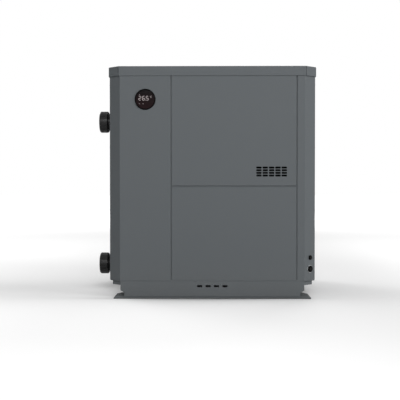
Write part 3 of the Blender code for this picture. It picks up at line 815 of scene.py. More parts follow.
# Skirt plates: right half of the outline from its top, then the four slots
SKIRT_OUTLINE = ((0.3870, 0.0668), (0.3870, 0.0285), (0.3710, 0.02), (0.3710, 0.0048))
SKIRT_SETBACK = 0.0012
SKIRT_DEPTH = 0.0074
SLOT_COUNT = 4
SLOT_PITCH = 0.0353
SLOT_Z = 0.0463
SLOT_HALF = (0.011, 0.00475)
SLOT_CORNER = 0.0022
CUTTER_PAST = 0.01
CUTTER_DEPTH = 0.03


def slot_outline(x, z):
    """Outline of a slot with cut corners about its middle."""
    width, height = SLOT_HALF
    quarter = [(width, height - SLOT_CORNER), (width - SLOT_CORNER, height)]
    half = quarter + [(-u, w) for u, w in reversed(quarter)]
    return [(x + u, z + w) for u, w in half + [(-u, -w) for u, w in half]]


class HEATPUMP_OT_skirts(bpy.types.Operator):
    """Build the slotted skirt plates that face the foot rails, front and rear"""

    bl_idname = "heatpump.skirts"
    bl_label = "Skirts"

    def execute(self, context):
        outline = [(CENTRE_X + x, z) for x, z in SKIRT_OUTLINE]
        outline += [(CENTRE_X - x, z) for x, z in reversed(SKIRT_OUTLINE)]
        front = FRONT_Y + SKIRT_SETBACK
        skirt = flat_plate("front_skirt", outline, front, SKIRT_DEPTH)
        for i in range(SLOT_COUNT):
            x = CENTRE_X + (i - (SLOT_COUNT - 1) / 2) * SLOT_PITCH
            slot = slot_outline(x, SLOT_Z)
            cutter = flat_plate("slot_cutter", slot, front - CUTTER_PAST, CUTTER_DEPTH)
            apply_modifier(
                skirt, "BOOLEAN", operation="DIFFERENCE", object=cutter, solver="EXACT"
            )
            bpy.data.objects.remove(cutter)
        round_edges(skirt, 0.0005)
        rear = copy_piece(skirt, "rear_skirt", turn_about((CENTRE_X, 0, 0), math.pi))
        hand_over(joined("skirt_plates", [skirt, rear]), "satin_grey_coat", "grey_powder_coat")
        return {"FINISHED"}


class HEATPUMP_OT_inner_metal(bpy.types.Operator):
    """Build the fan's shroud, its bracket and the compartment"""

    bl_idname = "heatpump.inner_metal"
    bl_label = "Inner Metal"

    def execute(self, context):
        dress_nodes(ZINC_NODES, "spangled_zinc", "galvanised_steel")
        # The compartment wears a near-black finish as painted shade behind the vent slots
        dress_nodes(("compressor_compartment",), "painted_shade_black", "galvanised_steel")
        return {"FINISHED"}


# Water unions

UNION_FIT = 0.0003
NUT_LIP = 0.0025  # how far the nut's near end reaches past its box towards the wall
SOCKET_WALL = 0.0065
RIB_PROUD = 0.0012
RIB_DEPTH = 0.004
RIB_SHARE = 0.52  # half a rib's width, as a share of half its pitch
COLLAR_FLANGE = 0.0050


def build_nut(side, place, near, far, tube, radius):
    core = radius - RIB_PROUD
    inner = tube + UNION_FIT
    profile = [
        (inner, near),
        (core - 0.0040, near),
        (core - 0.0012, near + 0.0012),
        (core, near + 0.0042),
        (core, far - 0.0050),
        (core - 0.0008, far - 0.0024),
        (core - 0.0025, far - 0.0007),
        (core - 0.0048, far),
        (tube + 0.0035, far),
        (inner, far - 0.0020),
        (inner, near),
    ]
    nut = turned_piece(f"{side}_nut_body", profile, place)
    round_edges(nut, 0.0006, 2, 20)
    count = grid_settings().nut_ribs
    half = radius * math.pi / count * RIB_SHARE
    low = (radius - RIB_DEPTH, -half, near + 0.0040)
    high = (radius, half, far - 0.0048)
    ribs = ribs_round(f"{side}_nut_rib", low, high, count, place, 0.0011, 3)
    nut = joined(f"{side}_union_nut_ribbed", [nut, ribs])
    hand_over(nut, "moulded_black", "black_plastic", f"{side}_union_nut")


def build_union(side):
    """The nut, the pipe socket and the wall collar of one union, along one axis."""
    low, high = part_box(f"{side}_union_nut")
    socket_low, socket_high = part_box(f"{side}_pipe_socket")
    collar_low, collar_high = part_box(f"{side}_wall_collar")
    tube = (socket_high.z - socket_low.z) / 2
    bore = tube - SOCKET_WALL
    near = LEFT_X - high.x - NUT_LIP
    place = outwards((LEFT_X, (low.y + high.y) / 2, (low.z + high.z) / 2), (-1, 0, 0))
    build_nut(side, place, near, LEFT_X - low.x, tube, (high.z - low.z) / 2)
    start = near + UNION_FIT
    end = LEFT_X - socket_low.x
    profile = [
        (bore, start),
        (tube, start),
        (tube, end - 0.0010),
        (tube - 0.0010, end),
        (bore + 0.0022, end),
        (bore + 0.0003, end - 0.0035),
        (bore, end - 0.0060),
        (bore, start),
    ]
    socket = turned_piece(f"{side}_socket_tube", profile, place)
    hand_over(socket, "moulded_black", "black_plastic", f"{side}_pipe_socket")
    flange = (collar_high.z - collar_low.z) / 2
    barrel = flange - 0.0045
    neck = flange - 0.0030
    lip = flange - 0.0008
    inside = LEFT_X - collar_high.x
    profile = [
        (0.0, inside),
        (barrel, inside),
        (barrel, 0.0004),
        (flange, 0.0004),
        (flange, COLLAR_FLANGE),
        (neck, COLLAR_FLANGE + 0.0012),
        (neck, near - 0.0050),
        (lip, near - 0.0035),
        (lip, near - UNION_FIT),
        (bore, near - UNION_FIT),
        (bore, inside + 0.0120),
        (0.0, inside + 0.0120),
    ]
    collar = turned_piece(f"{side}_collar_turned", profile, place)
    round_edges(collar, 0.0005)
    hand_over(collar, "moulded_black", "black_plastic", f"{side}_wall_collar")


class HEATPUMP_OT_unions(bpy.types.Operator):
    """Build the two water unions"""

    bl_idname = "heatpump.unions"
    bl_label = "Water Unions"

    def execute(self, context):
        for side in ("upper", "lower"):
            build_union(side)
        return {"FINISHED"}


# Controller

# Seven-segment figures, as the bars that are lit: top, middle, bottom, then the four uprights
FIGURES = {
    "0": "tb1234",
    "1": "24",
    "2": "tmb23",
    "3": "tmb24",
    "4": "m124",
    "5": "tmb14",
    "6": "tmb134",
    "7": "t24",
    "8": "tmb1234",
    "9": "tmb124",
}

# Shares of a figure's height
FIGURE_WIDTH = 0.56
FIGURE_PITCH = 0.95
FIGURE_BAR = 0.15
POINT_BACK = 0.20
UNIT_OFFSET = (-0.02, 0.62)
UNIT_HEIGHT = 0.42

# Shares of a bar's thickness
BAR_GAP = 0.22
POINT_RADIUS = 0.55
POINT_LINE = 0.5

# Places on the display, from its middle, and sizes
FIRST_FIGURE = (-0.0268, -0.0037)
STATUS_RING = (-0.0235, 0.0205)
STATUS_RADIUS = 0.0012
STATUS_LINE = 0.0009
DASHES = ((-0.0235, -0.0187), (-0.0085, -0.0187))
DASH_HALF = 0.0028
DASH_THICKNESS = 0.0015
LIT_DEPTH = 0.0002
LIT_BEHIND = 0.0003  # back of the figures behind the ring's face


def figure_bars(height):
    """Ends of each bar of a seven-segment figure, as (x, z) pairs from its lower left."""
    width = height * FIGURE_WIDTH
    half = height / 2
    return {
        "t": ((0, height), (width, height)),
        "m": ((0, half), (width, half)),
        "b": ((0, 0), (width, 0)),
        "1": ((0, height), (0, half)),
        "2": ((width, height), (width, half)),
        "3": ((0, half), (0, 0)),
        "4": ((width, half), (width, 0)),
    }


def lit_bar(start, end, thickness, front):
    """A flat lit bar with pointed ends, facing the front."""
    first = Vector((start[0], front, start[1]))
    last = Vector((end[0], front, end[1]))
    along = (last - first).normalized()
    across = Vector((-along.z, 0, along.x)) * (thickness / 2)
    gap = along * (thickness * BAR_GAP)
    point = along * (thickness / 2)
    outline = [
        first + gap,
        first + gap + point - across,
        last - gap - point - across,
        last - gap,
        last - gap - point + across,
        first + gap + point + across,
        first + gap,
    ]
    bar = trace("display_bar", outline)
    start_edit(bar)
    bpy.ops.mesh.remove_doubles(threshold=MERGE)
    bpy.ops.mesh.edge_face_add()
    extrude_faces((0, -LIT_DEPTH, 0))
    bpy.ops.mesh.select_all(action="SELECT")
    bpy.ops.mesh.normals_make_consistent(inside=False)
    end_edit()
    return bar


def lit_ring(x, z, radius, thickness, front):
    """A small flat lit ring, facing the front."""
    inner = radius - thickness
    section = [(inner, 0), (radius, 0), (radius, LIT_DEPTH), (inner, LIT_DEPTH), (inner, 0)]
    return turned_piece("display_ring", section, outwards((x, front, z), (0, -1, 0)), 16)


def unit_mark(x, z, height, front):
    """The degree ring and the letter C of the unit."""
    thickness = height * 0.2
    width = height * 0.6
    left = x + height * 0.55
    ring = (x + height * 0.2, z + height * 0.88, height * 0.2, thickness * 0.7)
    corners = ((left + width, z + height), (left, z + height), (left, z), (left + width, z))
    strokes = [lit_bar(*ends, thickness, front) for ends in zip(corners, corners[1:])]
    return [lit_ring(*ring, front)] + strokes


def display_figures(middle, front):
    """The reading with its unit, a status ring and two dashes."""
    height = display_settings().figure_height
    thickness = height * FIGURE_BAR
    bars = figure_bars(height)
    pen = middle[0] + FIRST_FIGURE[0]
    base = middle[2] + FIRST_FIGURE[1]
    lit = []
    for character in display_settings().reading:
        if character == ".":
            x = pen - height * POINT_BACK
            size = (thickness * POINT_RADIUS, thickness * POINT_LINE)
            lit.append(lit_ring(x, base, *size, front))
            continue
        for key in FIGURES.get(character, ""):
            start, end = ((pen + x, base + z) for x, z in bars[key])
            lit.append(lit_bar(start, end, thickness, front))
        pen += height * FIGURE_PITCH
    x, z = (height * share for share in UNIT_OFFSET)
    lit += unit_mark(pen + x, base + z, height * UNIT_HEIGHT, front)
    x, z = STATUS_RING
    lit.append(lit_ring(middle[0] + x, middle[2] + z, STATUS_RADIUS, STATUS_LINE, front))
    for x, z in DASHES:
        start = (middle[0] + x - DASH_HALF, middle[2] + z)
        end = (middle[0] + x + DASH_HALF, middle[2] + z)
        lit.append(lit_bar(start, end, DASH_THICKNESS, front))
    hand_over(joined("display_figures", lit), "display_light", "smoked_glass")


class HEATPUMP_OT_controller(bpy.types.Operator):
    """Build the round controller with its lit figures"""

    bl_idname = "heatpump.controller"
    bl_label = "Controller"

    def execute(self, context):
        low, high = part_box("controller_bezel")
        glass_low, glass_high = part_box("controller_glass")
        radius = (high.x - low.x) / 2
        lens = (glass_high.x - glass_low.x) / 2
        middle = ((low.x + high.x) / 2, FRONT_Y, (low.z + high.z) / 2)
        proud = FRONT_Y - low.y
        inside = FRONT_Y - high.y
        lens_back = FRONT_Y - glass_high.y
        seat = lens_back - 0.0003
        barrel = radius - 0.0052
        place = outwards(middle, (0, -1, 0))
        profile = [
            (0.0, inside),
            (barrel, inside),
            (barrel, 0.0004),
            (radius, 0.0004),
            (radius, proud - 0.0016),
            (radius - 0.0006, proud - 0.0005),
            (radius - 0.0018, proud),
            (lens + 0.0011, proud),
            (lens + 0.0004, proud - 0.0005),
            (lens + 0.0004, seat),
            (0.0, seat),
        ]
        bezel = turned_piece("controller_bezel_turned", profile, place, FINE_STEPS)
        hand_over(bezel, "dull_black", "black_plastic", "controller_bezel")
        profile = [
            (0.0, lens_back),
            (lens, lens_back),
            (lens, proud - 0.0012),
            (lens - 0.0008, proud - 0.0006),
            (lens * 0.6, proud - 0.0004),
            (0.0, proud - 0.0004),
        ]
        glass = turned_piece("controller_lens", profile, place, FINE_STEPS)
        hand_over(glass, "smoked_lens", "smoked_glass", "controller_glass")
        display_figures(middle, FRONT_Y - proud + LIT_BEHIND)
        return {"FINISHED"}


# Cable glands: profiles whose radii are shares of the gland's own

GLAND_NUT = ((0.45, 0.0010), (1, 0.0010), (1, 0.0030), (0.45, 0.0030), (0.45, 0.0010))
GLAND_DOME = (
    (0.42, 0.0026),
    (0.86, 0.0026),
    (0.86, 0.0048),
    (0.78, 0.0062),
    (0.62, 0.0070),
    (0.46, 0.0070),
    (0.42, 0.0064),
    (0.42, 0.0026),
)
GLAND_SEAL = (
    (0.0, 0.0030),
    (0.41, 0.0030),
    (0.41, 0.0062),
    (0.30, 0.0066),
    (0.16, 0.0052),
    (0.0, 0.0046),
)
GLAND_WASHER = (
    (0.5, 0.0002),
    (1.06, 0.0002),
    (1.08, 0.0006),
    (1.06, 0.0010),
    (0.5, 0.0010),
    (0.5, 0.0002),
)


def gland_part(name, shares, steps, radius, place):
    profile = [(radius * share, height) for share, height in shares]
    return turned_piece(name, profile, place, steps)


class HEATPUMP_OT_cable_glands(bpy.types.Operator):
    """Build the two cable glands on the right front corner"""

    bl_idname = "heatpump.cable_glands"
    bl_label = "Cable Glands"

    def execute(self, context):
        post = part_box("right_front_post")
        wall_x = post[1].x - CORNER_CUT / 2
        wall_y = post[0].y + CORNER_CUT / 2
        outward = Vector((1, -1, 0)).normalized()
        for side in ("lower", "upper"):
            low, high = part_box(f"{side}_cable_gland")
            radius = (high.z - low.z) / 2
            place = outwards((wall_x, wall_y, (low.z + high.z) / 2), outward)
            nut = gland_part(f"{side}_gland_nut", GLAND_NUT, 6, radius, place)
            round_edges(nut, 0.0005)
            dome = gland_part(f"{side}_gland_dome", GLAND_DOME, 48, radius, place)
            rib = ((radius * 0.84, -0.0004, 0.0029), (radius * 0.93, 0.0004, 0.0047))
            ribs = ribs_round(f"{side}_gland_rib", *rib, 18, place)
            body = joined(f"{side}_gland_body", [nut, dome, ribs])
            hand_over(body, "dull_black", "black_plastic", f"{side}_cable_gland")
            seal = gland_part(f"{side}_gland_seal", GLAND_SEAL, 32, radius, place)
            hand_over(seal, "rubber_seal", "black_plastic")
            if side == "lower":
                washer = gland_part("lower_gland_washer", GLAND_WASHER, 48, radius, place)
                hand_over(washer, "spangled_zinc", "galvanised_steel")
        return {"FINISHED"}


# Coil

COIL_DEPTH = 0.044
COIL_BEND = 0.070
COIL_MARGIN = 0.001  # fins short of the node's top and bottom
FIN_HALF = 0.00012
FIN_SPREAD = 1.1  # how much wider apart the fins stand in a bend
TUBE_INSETS = (0.012, 0.032)
TUBE_THICKNESS = 0.0095
TUBE_PITCH = 0.0254
TUBE_RISE = 0.020
TUBE_DROP = 0.010
TUBE_END = 0.002


def bend_points(corner_x, corner_y, radius, first, last, steps=8):
    """Points of an arc between two angles in degrees."""
    points = []
    for i in range(steps + 1):
        angle = math.radians(first + (last - first) * i / steps)
        points.append((corner_x + radius * math.cos(angle), corner_y + radius * math.sin(angle)))
    return points


def coil_fins(low, high, base, top):
    """The fins of the two sides, of the rear and of the two bends."""
    pitch = grid_settings().fin_pitch
    corner_y = high.y - COIL_BEND
    left, right = low.x + COIL_BEND, high.x - COIL_BEND
    start = low.y + pitch
    fins = []
    for near in (low.x, high.x - COIL_DEPTH):
        end = (near + COIL_DEPTH, start + 2 * FIN_HALF, top)
        fins.append(block("side_fins", (near, start, base), end))
        repeated(fins[-1], int((corner_y - low.y) / pitch) - 1, (0, pitch, 0))
    end = (left + 2 * FIN_HALF, high.y, top)
    fins.append(block("rear_fins", (left, high.y - COIL_DEPTH, base), end))
    repeated(fins[-1], int((right - left) / pitch) + 1, (pitch, 0, 0))
    count = int(COIL_BEND * math.pi / 2 / pitch / FIN_SPREAD)
    for x, first in ((right, 0), (left, 90)):
        outer = x + COIL_BEND
        start = (outer - COIL_DEPTH, corner_y - FIN_HALF, base)
        fin = block("bend_fin", start, (outer, corner_y + FIN_HALF, top))
        for i in range(1, count):
            turn = turn_about((x, corner_y, 0), math.radians(first + 90 * i / count))
            fins.append(copy_piece(fin, f"bend_fin_{i}", turn))
        bpy.data.objects.remove(fin)
    return fins


class HEATPUMP_OT_coil(bpy.types.Operator):
    """Build the finned coil with its tubes"""

    bl_idname = "heatpump.coil"
    bl_label = "Coil"

    def execute(self, context):
        low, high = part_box("evaporator_coil")
        base = low.z + COIL_MARGIN
        top = high.z - COIL_MARGIN
        coil = joined("coil_fin_pack", coil_fins(low, high, base, top))
        hand_over(coil, "rolled_fins", "coil_fins", "evaporator_coil")
        corner_y = high.y - COIL_BEND
        count = int((top - base - TUBE_RISE - TUBE_DROP) / TUBE_PITCH) + 1
        rows = []
        for inset in TUBE_INSETS:
            radius = COIL_BEND - inset
            path = [(high.x - inset, low.y + TUBE_END)]
            path += bend_points(high.x - COIL_BEND, corner_y, radius, 0, 90)
            path += bend_points(low.x + COIL_BEND, corner_y, radius, 90, 180)
            path.append((low.x + inset, low.y + TUBE_END))
            points = [(x, y, base + TUBE_RISE) for x, y in path]
            rows.append(wire_along("coil_tube", points, TUBE_THICKNESS))
            repeated(rows[-1], count, (0, 0, TUBE_PITCH))
        hand_over(joined("coil_tubes", rows), "fin_collars", "coil_fins")
        return {"FINISHED"}


# Coil guards

GUARD_NODES = ("left_coil_guard", "right_coil_guard", "rear_coil_guard")
GUARD_BORDER = 0.018
LEVEL_PITCH = 0.036
LEVEL_WIRE = 0.0038
UPRIGHT_WIRE = 0.0024
UPRIGHT_PROUD = 0.0016


def guard_frame(name, low, high, along, border):
    """A flat frame, from a plane whose middle is cut away."""
    clear_selection()
    bpy.ops.mesh.primitive_plane_add(size=1)
    piece = bpy.context.active_object
    piece.name = name
    piece.scale = (high[along] - low[along], high.z - low.z, 1)
    apply_place(piece)
    start_edit(piece)
    bpy.ops.mesh.inset(thickness=border)
    bpy.ops.mesh.delete(type="FACE")
    end_edit()
    make_sound(piece)
    depth = high[1 - along] - low[1 - along]
    apply_modifier(piece, "SOLIDIFY", thickness=depth, offset=0.0)
    turn = Matrix.Rotation(math.pi / 2, 4, "X")
    if along == 1:
        turn = Matrix.Rotation(math.pi / 2, 4, "Z") @ turn
    moved(piece, Matrix.Translation((low + high) / 2) @ turn)
    make_sound(piece)
    round_edges(piece, 0.0012, 3)
    return piece


def build_coil_guard(node):
    """A frame with level wires and, outside them, upright ones."""
    low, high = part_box(node)
    along = 0 if high.x - low.x > high.y - low.y else 1
    middle = (low[1 - along] + high[1 - along]) / 2
    outer = 1 if middle > (0, CENTRE_X)[along] else -1

    def point(run, side, z):
        return (run, side, z) if along == 0 else (side, run, z)

    pieces = [guard_frame(f"{node}_frame", low, high, along, GUARD_BORDER)]
    opening = high.z - low.z - 2 * GUARD_BORDER
    count = int(opening / LEVEL_PITCH)
    pitch = opening / (count + 1)
    z = low.z + GUARD_BORDER + pitch
    ends = (low[along] + GUARD_BORDER / 2, high[along] - GUARD_BORDER / 2)
    points = [point(run, middle, z) for run in ends]
    pieces.append(wire_along(f"{node}_level_wire", points, LEVEL_WIRE))
    repeated(pieces[-1], count, (0, 0, pitch))
    span = high[along] - low[along] - 2 * GUARD_BORDER
    count = int(span / grid_settings().grid_pitch)
    gap = span / (count + 1)
    run = low[along] + GUARD_BORDER + gap
    ends = (low.z + GUARD_BORDER / 2, high.z - GUARD_BORDER / 2)
    points = [point(run, middle + outer * UPRIGHT_PROUD, z) for z in ends]
    pieces.append(wire_along(f"{node}_upright_wire", points, UPRIGHT_WIRE))
    repeated(pieces[-1], count, point(gap, 0, 0))
    hand_over(joined(f"{node}_grid", pieces), "coated_wire", "black_wire", node)


class HEATPUMP_OT_coil_guards(bpy.types.Operator):
    """Build the wire guards in front of the coil"""

    bl_idname = "heatpump.coil_guards"
    bl_label = "Coil Guards"

    def execute(self, context):
        for node in GUARD_NODES:
            build_coil_guard(node)
        return {"FINISHED"}


# Fan

HUB_CAP = (
    (0.0, -0.0004),
    (0.016, -0.0004),
    (0.018, -0.0020),
    (0.030, -0.0020),
    (0.032, -0.0004),
    (0.056, -0.0004),
    (0.058, -0.0020),
    (0.0, -0.0060),
)
HUB_RIB = ((0.033, -0.0015, -0.003), (0.060, 0.0015, -0.0001))
HUB_RIB_COUNT = 12
MOTOR_RIB = ((0.063, 0.010), (0.0668, 0.010), (0.0668, 0.012), (0.063, 0.012), (0.063, 0.010))
MOTOR_RIB_COUNT = 6
MOTOR_RIB_PITCH = 0.0065


class HEATPUMP_OT_fan(bpy.types.Operator):
    """Build the fan and its motor"""

    bl_idname = "heatpump.fan"
    bl_label = "Fan"

    def execute(self, context):
        rotor = copied_node("fan_rotor", "fan_rotor_blades")
        round_edges(rotor, 0.0008, 2, 50)
        place = Matrix.Translation((*FAN_MIDDLE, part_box("fan_rotor")[1].z))
        cap = turned_piece("fan_hub_cap", HUB_CAP, place)
        ribs = ribs_round("fan_hub_rib", *HUB_RIB, HUB_RIB_COUNT, place, 0.0006)
        rotor = joined("fan_rotor_dressed", [rotor, cap, ribs])
        hand_over(rotor, "moulded_fan", "fan_plastic", "fan_rotor")
        motor = copied_node("fan_motor", "fan_motor_body")
        round_edges(motor, 0.002, 3, 40)
        place = Matrix.Translation((*FAN_MIDDLE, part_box("fan_motor")[0].z))
        ring = turned_piece("motor_rib", MOTOR_RIB, place, 48)
        repeated(ring, MOTOR_RIB_COUNT, (0, 0, MOTOR_RIB_PITCH))
        motor = joined("fan_motor_dressed", [motor, ring])
        hand_over(motor, "motor_enamel", "motor_paint", "fan_motor")
        return {"FINISHED"}


# Fan guard

GUARD_HUB = 0.050
GUARD_ARMS = 8
ARM_STATIONS = 12
OUTER_WIRE = 0.004
RING_OVER_ARM = 0.0025
ARM_RISE = 0.002  # arms' ends above the guard's lowest point
DOME_LOSS = 0.006  # how much less the arms rise than the guard is high

# Radii as shares of the hub's and distances in from it, with depths below the guard's top
GUARD_DISC = (
    (0, 0.0, 0.0055),
    (1, 0.004, 0.0062),
    (1, 0.001, 0.0075),
    (1, 0.0, 0.0055),
    (1, 0.001, 0.0030),
    (1, 0.005, 0.0014),
    (0.55, 0.0, 0.0004),
    (0, 0.0, 0.0001),
)


def guard_height(radius):
    """Height of the middle of the fan guard's arms, a shallow dome."""
    low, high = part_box("fan_guard")
    reach = (high.x - low.x) / 2
    rise = high.z - low.z - DOME_LOSS
    return low.z + ARM_RISE + rise * (1 - (radius / reach) ** 2)


def guard_ring(radius, wire, rise):
    clear_selection()
    bpy.ops.mesh.primitive_torus_add(
        location=(*FAN_MIDDLE, guard_height(radius) + rise),
        major_radius=radius,
        minor_radius=wire / 2,
        major_segments=96,
        minor_segments=8,
    )
    ring = bpy.context.active_object
    apply_place(ring)
    return ring


class HEATPUMP_OT_fan_guard(bpy.types.Operator):
    """Build the domed wire guard over the fan"""

    bl_idname = "heatpump.fan_guard"
    bl_label = "Fan Guard"

    def execute(self, context):
        settings = grid_settings()
        count = settings.guard_rings
        low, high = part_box("fan_guard")
        reach = (high.x - low.x) / 2 - OUTER_WIRE / 2
        step = reach - GUARD_HUB
        pieces = []
        for i in range(1, count):
            radius = GUARD_HUB + step * i / count
            pieces.append(guard_ring(radius, settings.ring_wire, RING_OVER_ARM))
        pieces.append(guard_ring(reach, OUTER_WIRE, 0.0))
        inner = GUARD_HUB / 2
        points = []
        for i in range(ARM_STATIONS + 1):
            radius = inner + (reach - inner) * i / ARM_STATIONS
            points.append((FAN_MIDDLE[0] + radius, FAN_MIDDLE[1], guard_height(radius)))
        arm = wire_along("guard_arm", points, OUTER_WIRE)
        pieces += copies_round(arm, GUARD_ARMS, (*FAN_MIDDLE, 0))
        profile = [(GUARD_HUB * share - back, high.z - drop) for share, back, drop in GUARD_DISC]
        pieces.append(turned_piece("guard_disc", profile, Matrix.Translation((*FAN_MIDDLE, 0))))
        hand_over(joined("fan_guard_wires", pieces), "coated_wire", "black_wire", "fan_guard")
        return {"FINISHED"}


# Fasteners

SCREW_WASHER = ((0.0, 0.0), (0.0062, 0.0), (0.0062, 0.0004), (0.0052, 0.0006), (0.0, 0.0006))
SCREW_HEAD = ((0.0, 0.0004), (0.0044, 0.0004), (0.0044, 0.0010), (0.0038, 0.0013), (0.0, 0.0013))
SIDE_ROWS = 4
SIDE_BOTTOM = 0.030  # lowest screw above the side panel's bottom
SIDE_TOP = 0.070  # highest one below its top
POST_INSET = 0.017
PANEL_INSET = 0.014
GUARD_INSET = 0.009
GUARD_TOP = 0.048
LID_CIRCLE = 0.306
LID_SCREWS = 4


def screw_places():
    """Where each screw stands, and the way that it points."""
    low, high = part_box("left_side_panel")
    span = high.z - low.z - SIDE_BOTTOM - SIDE_TOP
    post_y = abs(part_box("left_rear_post")[0].y) + POST_INSET
    places = []
    for side, x in ((-1, LEFT_X), (1, RIGHT_X)):
        for i in range(SIDE_ROWS):
            z = low.z + SIDE_BOTTOM + span * i / (SIDE_ROWS - 1)
            for y in (-post_y, post_y, high.y - PANEL_INSET):
                places.append(((x, y, z), (side, 0, 0)))
    low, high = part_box("rear_coil_guard")
    for x in (low.x + GUARD_INSET, CENTRE_X, high.x - GUARD_INSET):
        for z in (low.z + GUARD_INSET, high.z - GUARD_TOP):
            places.append(((x, high.y, z), (0, 1, 0)))
    for i in range(LID_SCREWS):
        angle = 2 * math.pi * (i + 1 / 2) / LID_SCREWS
        x = FAN_MIDDLE[0] + LID_CIRCLE * math.cos(angle)
        y = FAN_MIDDLE[1] + LID_CIRCLE * math.sin(angle)
        places.append(((x, y, LID_TOP), (0, 0, 1)))
    return places


class HEATPUMP_OT_fasteners(bpy.types.Operator):
    """Build the low hexagon screws of the sides, the back and the fan guard"""

    bl_idname = "heatpump.fasteners"
    bl_label = "Fasteners"

    def execute(self, context):
        washer = turned_piece("screw_washer", SCREW_WASHER, steps=24)
        head = turned_piece("screw_head", SCREW_HEAD, steps=6)
        pattern = joined("screw_pattern", [washer, head])
        screws = []
        for i, (place, outward) in enumerate(screw_places()):
            screws.append(copy_piece(pattern, f"screw_{i}", outwards(place, outward)))
        bpy.data.objects.remove(pattern)
        piece = joined("sheet_metal_screws", screws)
        hand_over(piece, "coated_screws", "galvanised_steel")
        return {"FINISHED"}


# Stage

FLOOR_SIZE = 60

# How much the floor glows near the object, and what it loses behind it between two distances
FLOOR_LIFT = 0.584
FLOOR_FAR_DROP = -0.498
FLOOR_BEHIND = (1.5, 6.0)
FLOOR_WHITE = (3.6, 8.5)  # it turns white all round between these distances

# Its soft patches of painted shade, and of painted light where the strength is below 0: strength,
# centre X and Y, half width, reach behind, reach before
FLOOR_SHADES = (
    (0.304, -2.365, -0.230, 2.808, 0.382, 0.395),
    (0.219, 0.741, 0.769, 0.511, 3.000, 3.000),
    (0.199, -0.374, 0.500, 0.756, 3.000, 0.623),
    (0.420, 0.060, -0.020, 0.350, 0.300, 0.330),
    (0.400, -0.125, -0.300, 0.471, 0.500, 0.201),
    (0.363, -0.050, -0.433, 0.340, 0.040, 0.030),
    (-0.297, -0.450, -0.186, 0.217, 0.203, 0.290),
)

# Name, place and power as a share of the key lamp's
LAMPS = (
    ("key_lamp", (7.5, -4.4, 3.4), 1.0),
    ("front_lamp", (0.5, -9.2, 3.8), 1.22),
    ("left_lamp", (-5.0, -7.0, 3.0), 0.06),
    ("rear_lamp", (2.0, 6.8, 5.5), 0.8),
    ("rear_left_lamp", (-5.0, 6.6, 4.5), 0.7),
)
LAMP_SIZE = 4.0
LAMP_TARGET = (0, 0, 0.5)

CAMERA_PLACE = (CENTRE_X, -4.044, 0.480)
CAMERA_TILT = 1.102  # degrees below level
CAMERA_TURN = 0.807
CAMERA_LENS = 78.3
SENSOR_WIDTH = 36


def floor_shade_group():
    """One soft patch of shade on the floor: 1 in its middle, fading to 0 all round."""
    inputs = {
        "Centre X": 0.0,
        "Centre Y": 0.0,
        "Half Width": 1.0,
        "Reach Behind": 0.5,
        "Reach Before": 0.5,
    }
    group, source, result = new_group("floor_shade", inputs, ("Mask",))
    place = split_place(group)
    across = math_node(group, "SUBTRACT", place["X"], source["Centre X"])
    along = math_node(group, "SUBTRACT", place["Y"], source["Centre Y"])
    total = 0.0
    for distance, reach in (
        (across, "Half Width"),
        (math_node(group, "MAXIMUM", along, 0.0), "Reach Behind"),
        (math_node(group, "MINIMUM", along, 0.0), "Reach Before"),
    ):
        share = math_node(group, "DIVIDE", distance, source[reach])
        total = math_node(group, "MULTIPLY_ADD", share, share, total)
    mask = math_node(group, "EXPONENT", math_node(group, "MULTIPLY", total, -1.0))
    plug_all(group, result, mask)


def eased(tree, value, limits):
    """0 before the first limit, 1 after the second, and a smooth rise between them."""
    values = {"Value": value, "From Min": limits[0], "From Max": limits[1]}
    rise = add_node(tree, "ShaderNodeMapRange", interpolation_type="SMOOTHSTEP", **values)
    return rise.outputs[0]


def seen_directly(tree):
    """1 for what the camera sees, also in a reflection or through a clear piece."""
    path = tree.nodes.new("ShaderNodeLightPath").outputs
    seen = math_node(tree, "MAXIMUM", path["Is Camera Ray"], path["Is Glossy Ray"])
    return math_node(tree, "MAXIMUM", seen, path["Is Transmission Ray"])


def floor_material():
    """A pale floor that fades to white far off, with soft shade round the foot of the object."""
    tree = new_material("pale_floor")
    colour = (*stage_settings().floor_colour, 1)
    matt = {"Base Color": colour, "Roughness": 0.9, "Specular IOR Level": 0.0}
    shader = set_shader(tree, matt)
    place = split_place(tree)
    across = math_node(tree, "MULTIPLY", place["X"], place["X"])
    square = math_node(tree, "MULTIPLY_ADD", place["Y"], place["Y"], across)
    distance = math_node(tree, "SQRT", square)
    behind = eased(tree, place["Y"], FLOOR_BEHIND)
    lift = math_node(tree, "MULTIPLY_ADD", behind, FLOOR_FAR_DROP, FLOOR_LIFT)
    lift = math_node(tree, "ADD", lift, eased(tree, distance, FLOOR_WHITE))
    floor_shade = bpy.data.node_groups["floor_shade"]
    for strength, *values in FLOOR_SHADES:
        patch = add_node(tree, "ShaderNodeGroup", node_tree=floor_shade)
        plug_all(tree, patch.inputs, *values)
        lift = math_node(tree, "MULTIPLY_ADD", patch.outputs["Mask"], -strength, lift)
    lift = math_node(tree, "MAXIMUM", lift, 0.0)
    seen = math_node(tree, "MULTIPLY", lift, seen_directly(tree))
    glow = add_node(tree, "ShaderNodeEmission", Strength=seen)
    total = tree.nodes.new("ShaderNodeAddShader")
    plug_all(tree, total.inputs, shader.outputs[0], glow.outputs[0])
    plug(tree, tree.nodes["Material Output"].inputs["Surface"], total.outputs[0])


def white_world(strength):
    """Even light, and plain white wherever the background itself is seen."""
    world = bpy.data.worlds.new("white_surround")
    world.use_nodes = True
    tree = world.node_tree
    background = tree.nodes["Background"].inputs
    background["Color"].default_value = (1, 1, 1, 1)
    light = math_node(tree, "MULTIPLY_ADD", seen_directly(tree), 1.0 - strength, strength)
    plug(tree, background["Strength"], light)
    bpy.context.scene.world = world


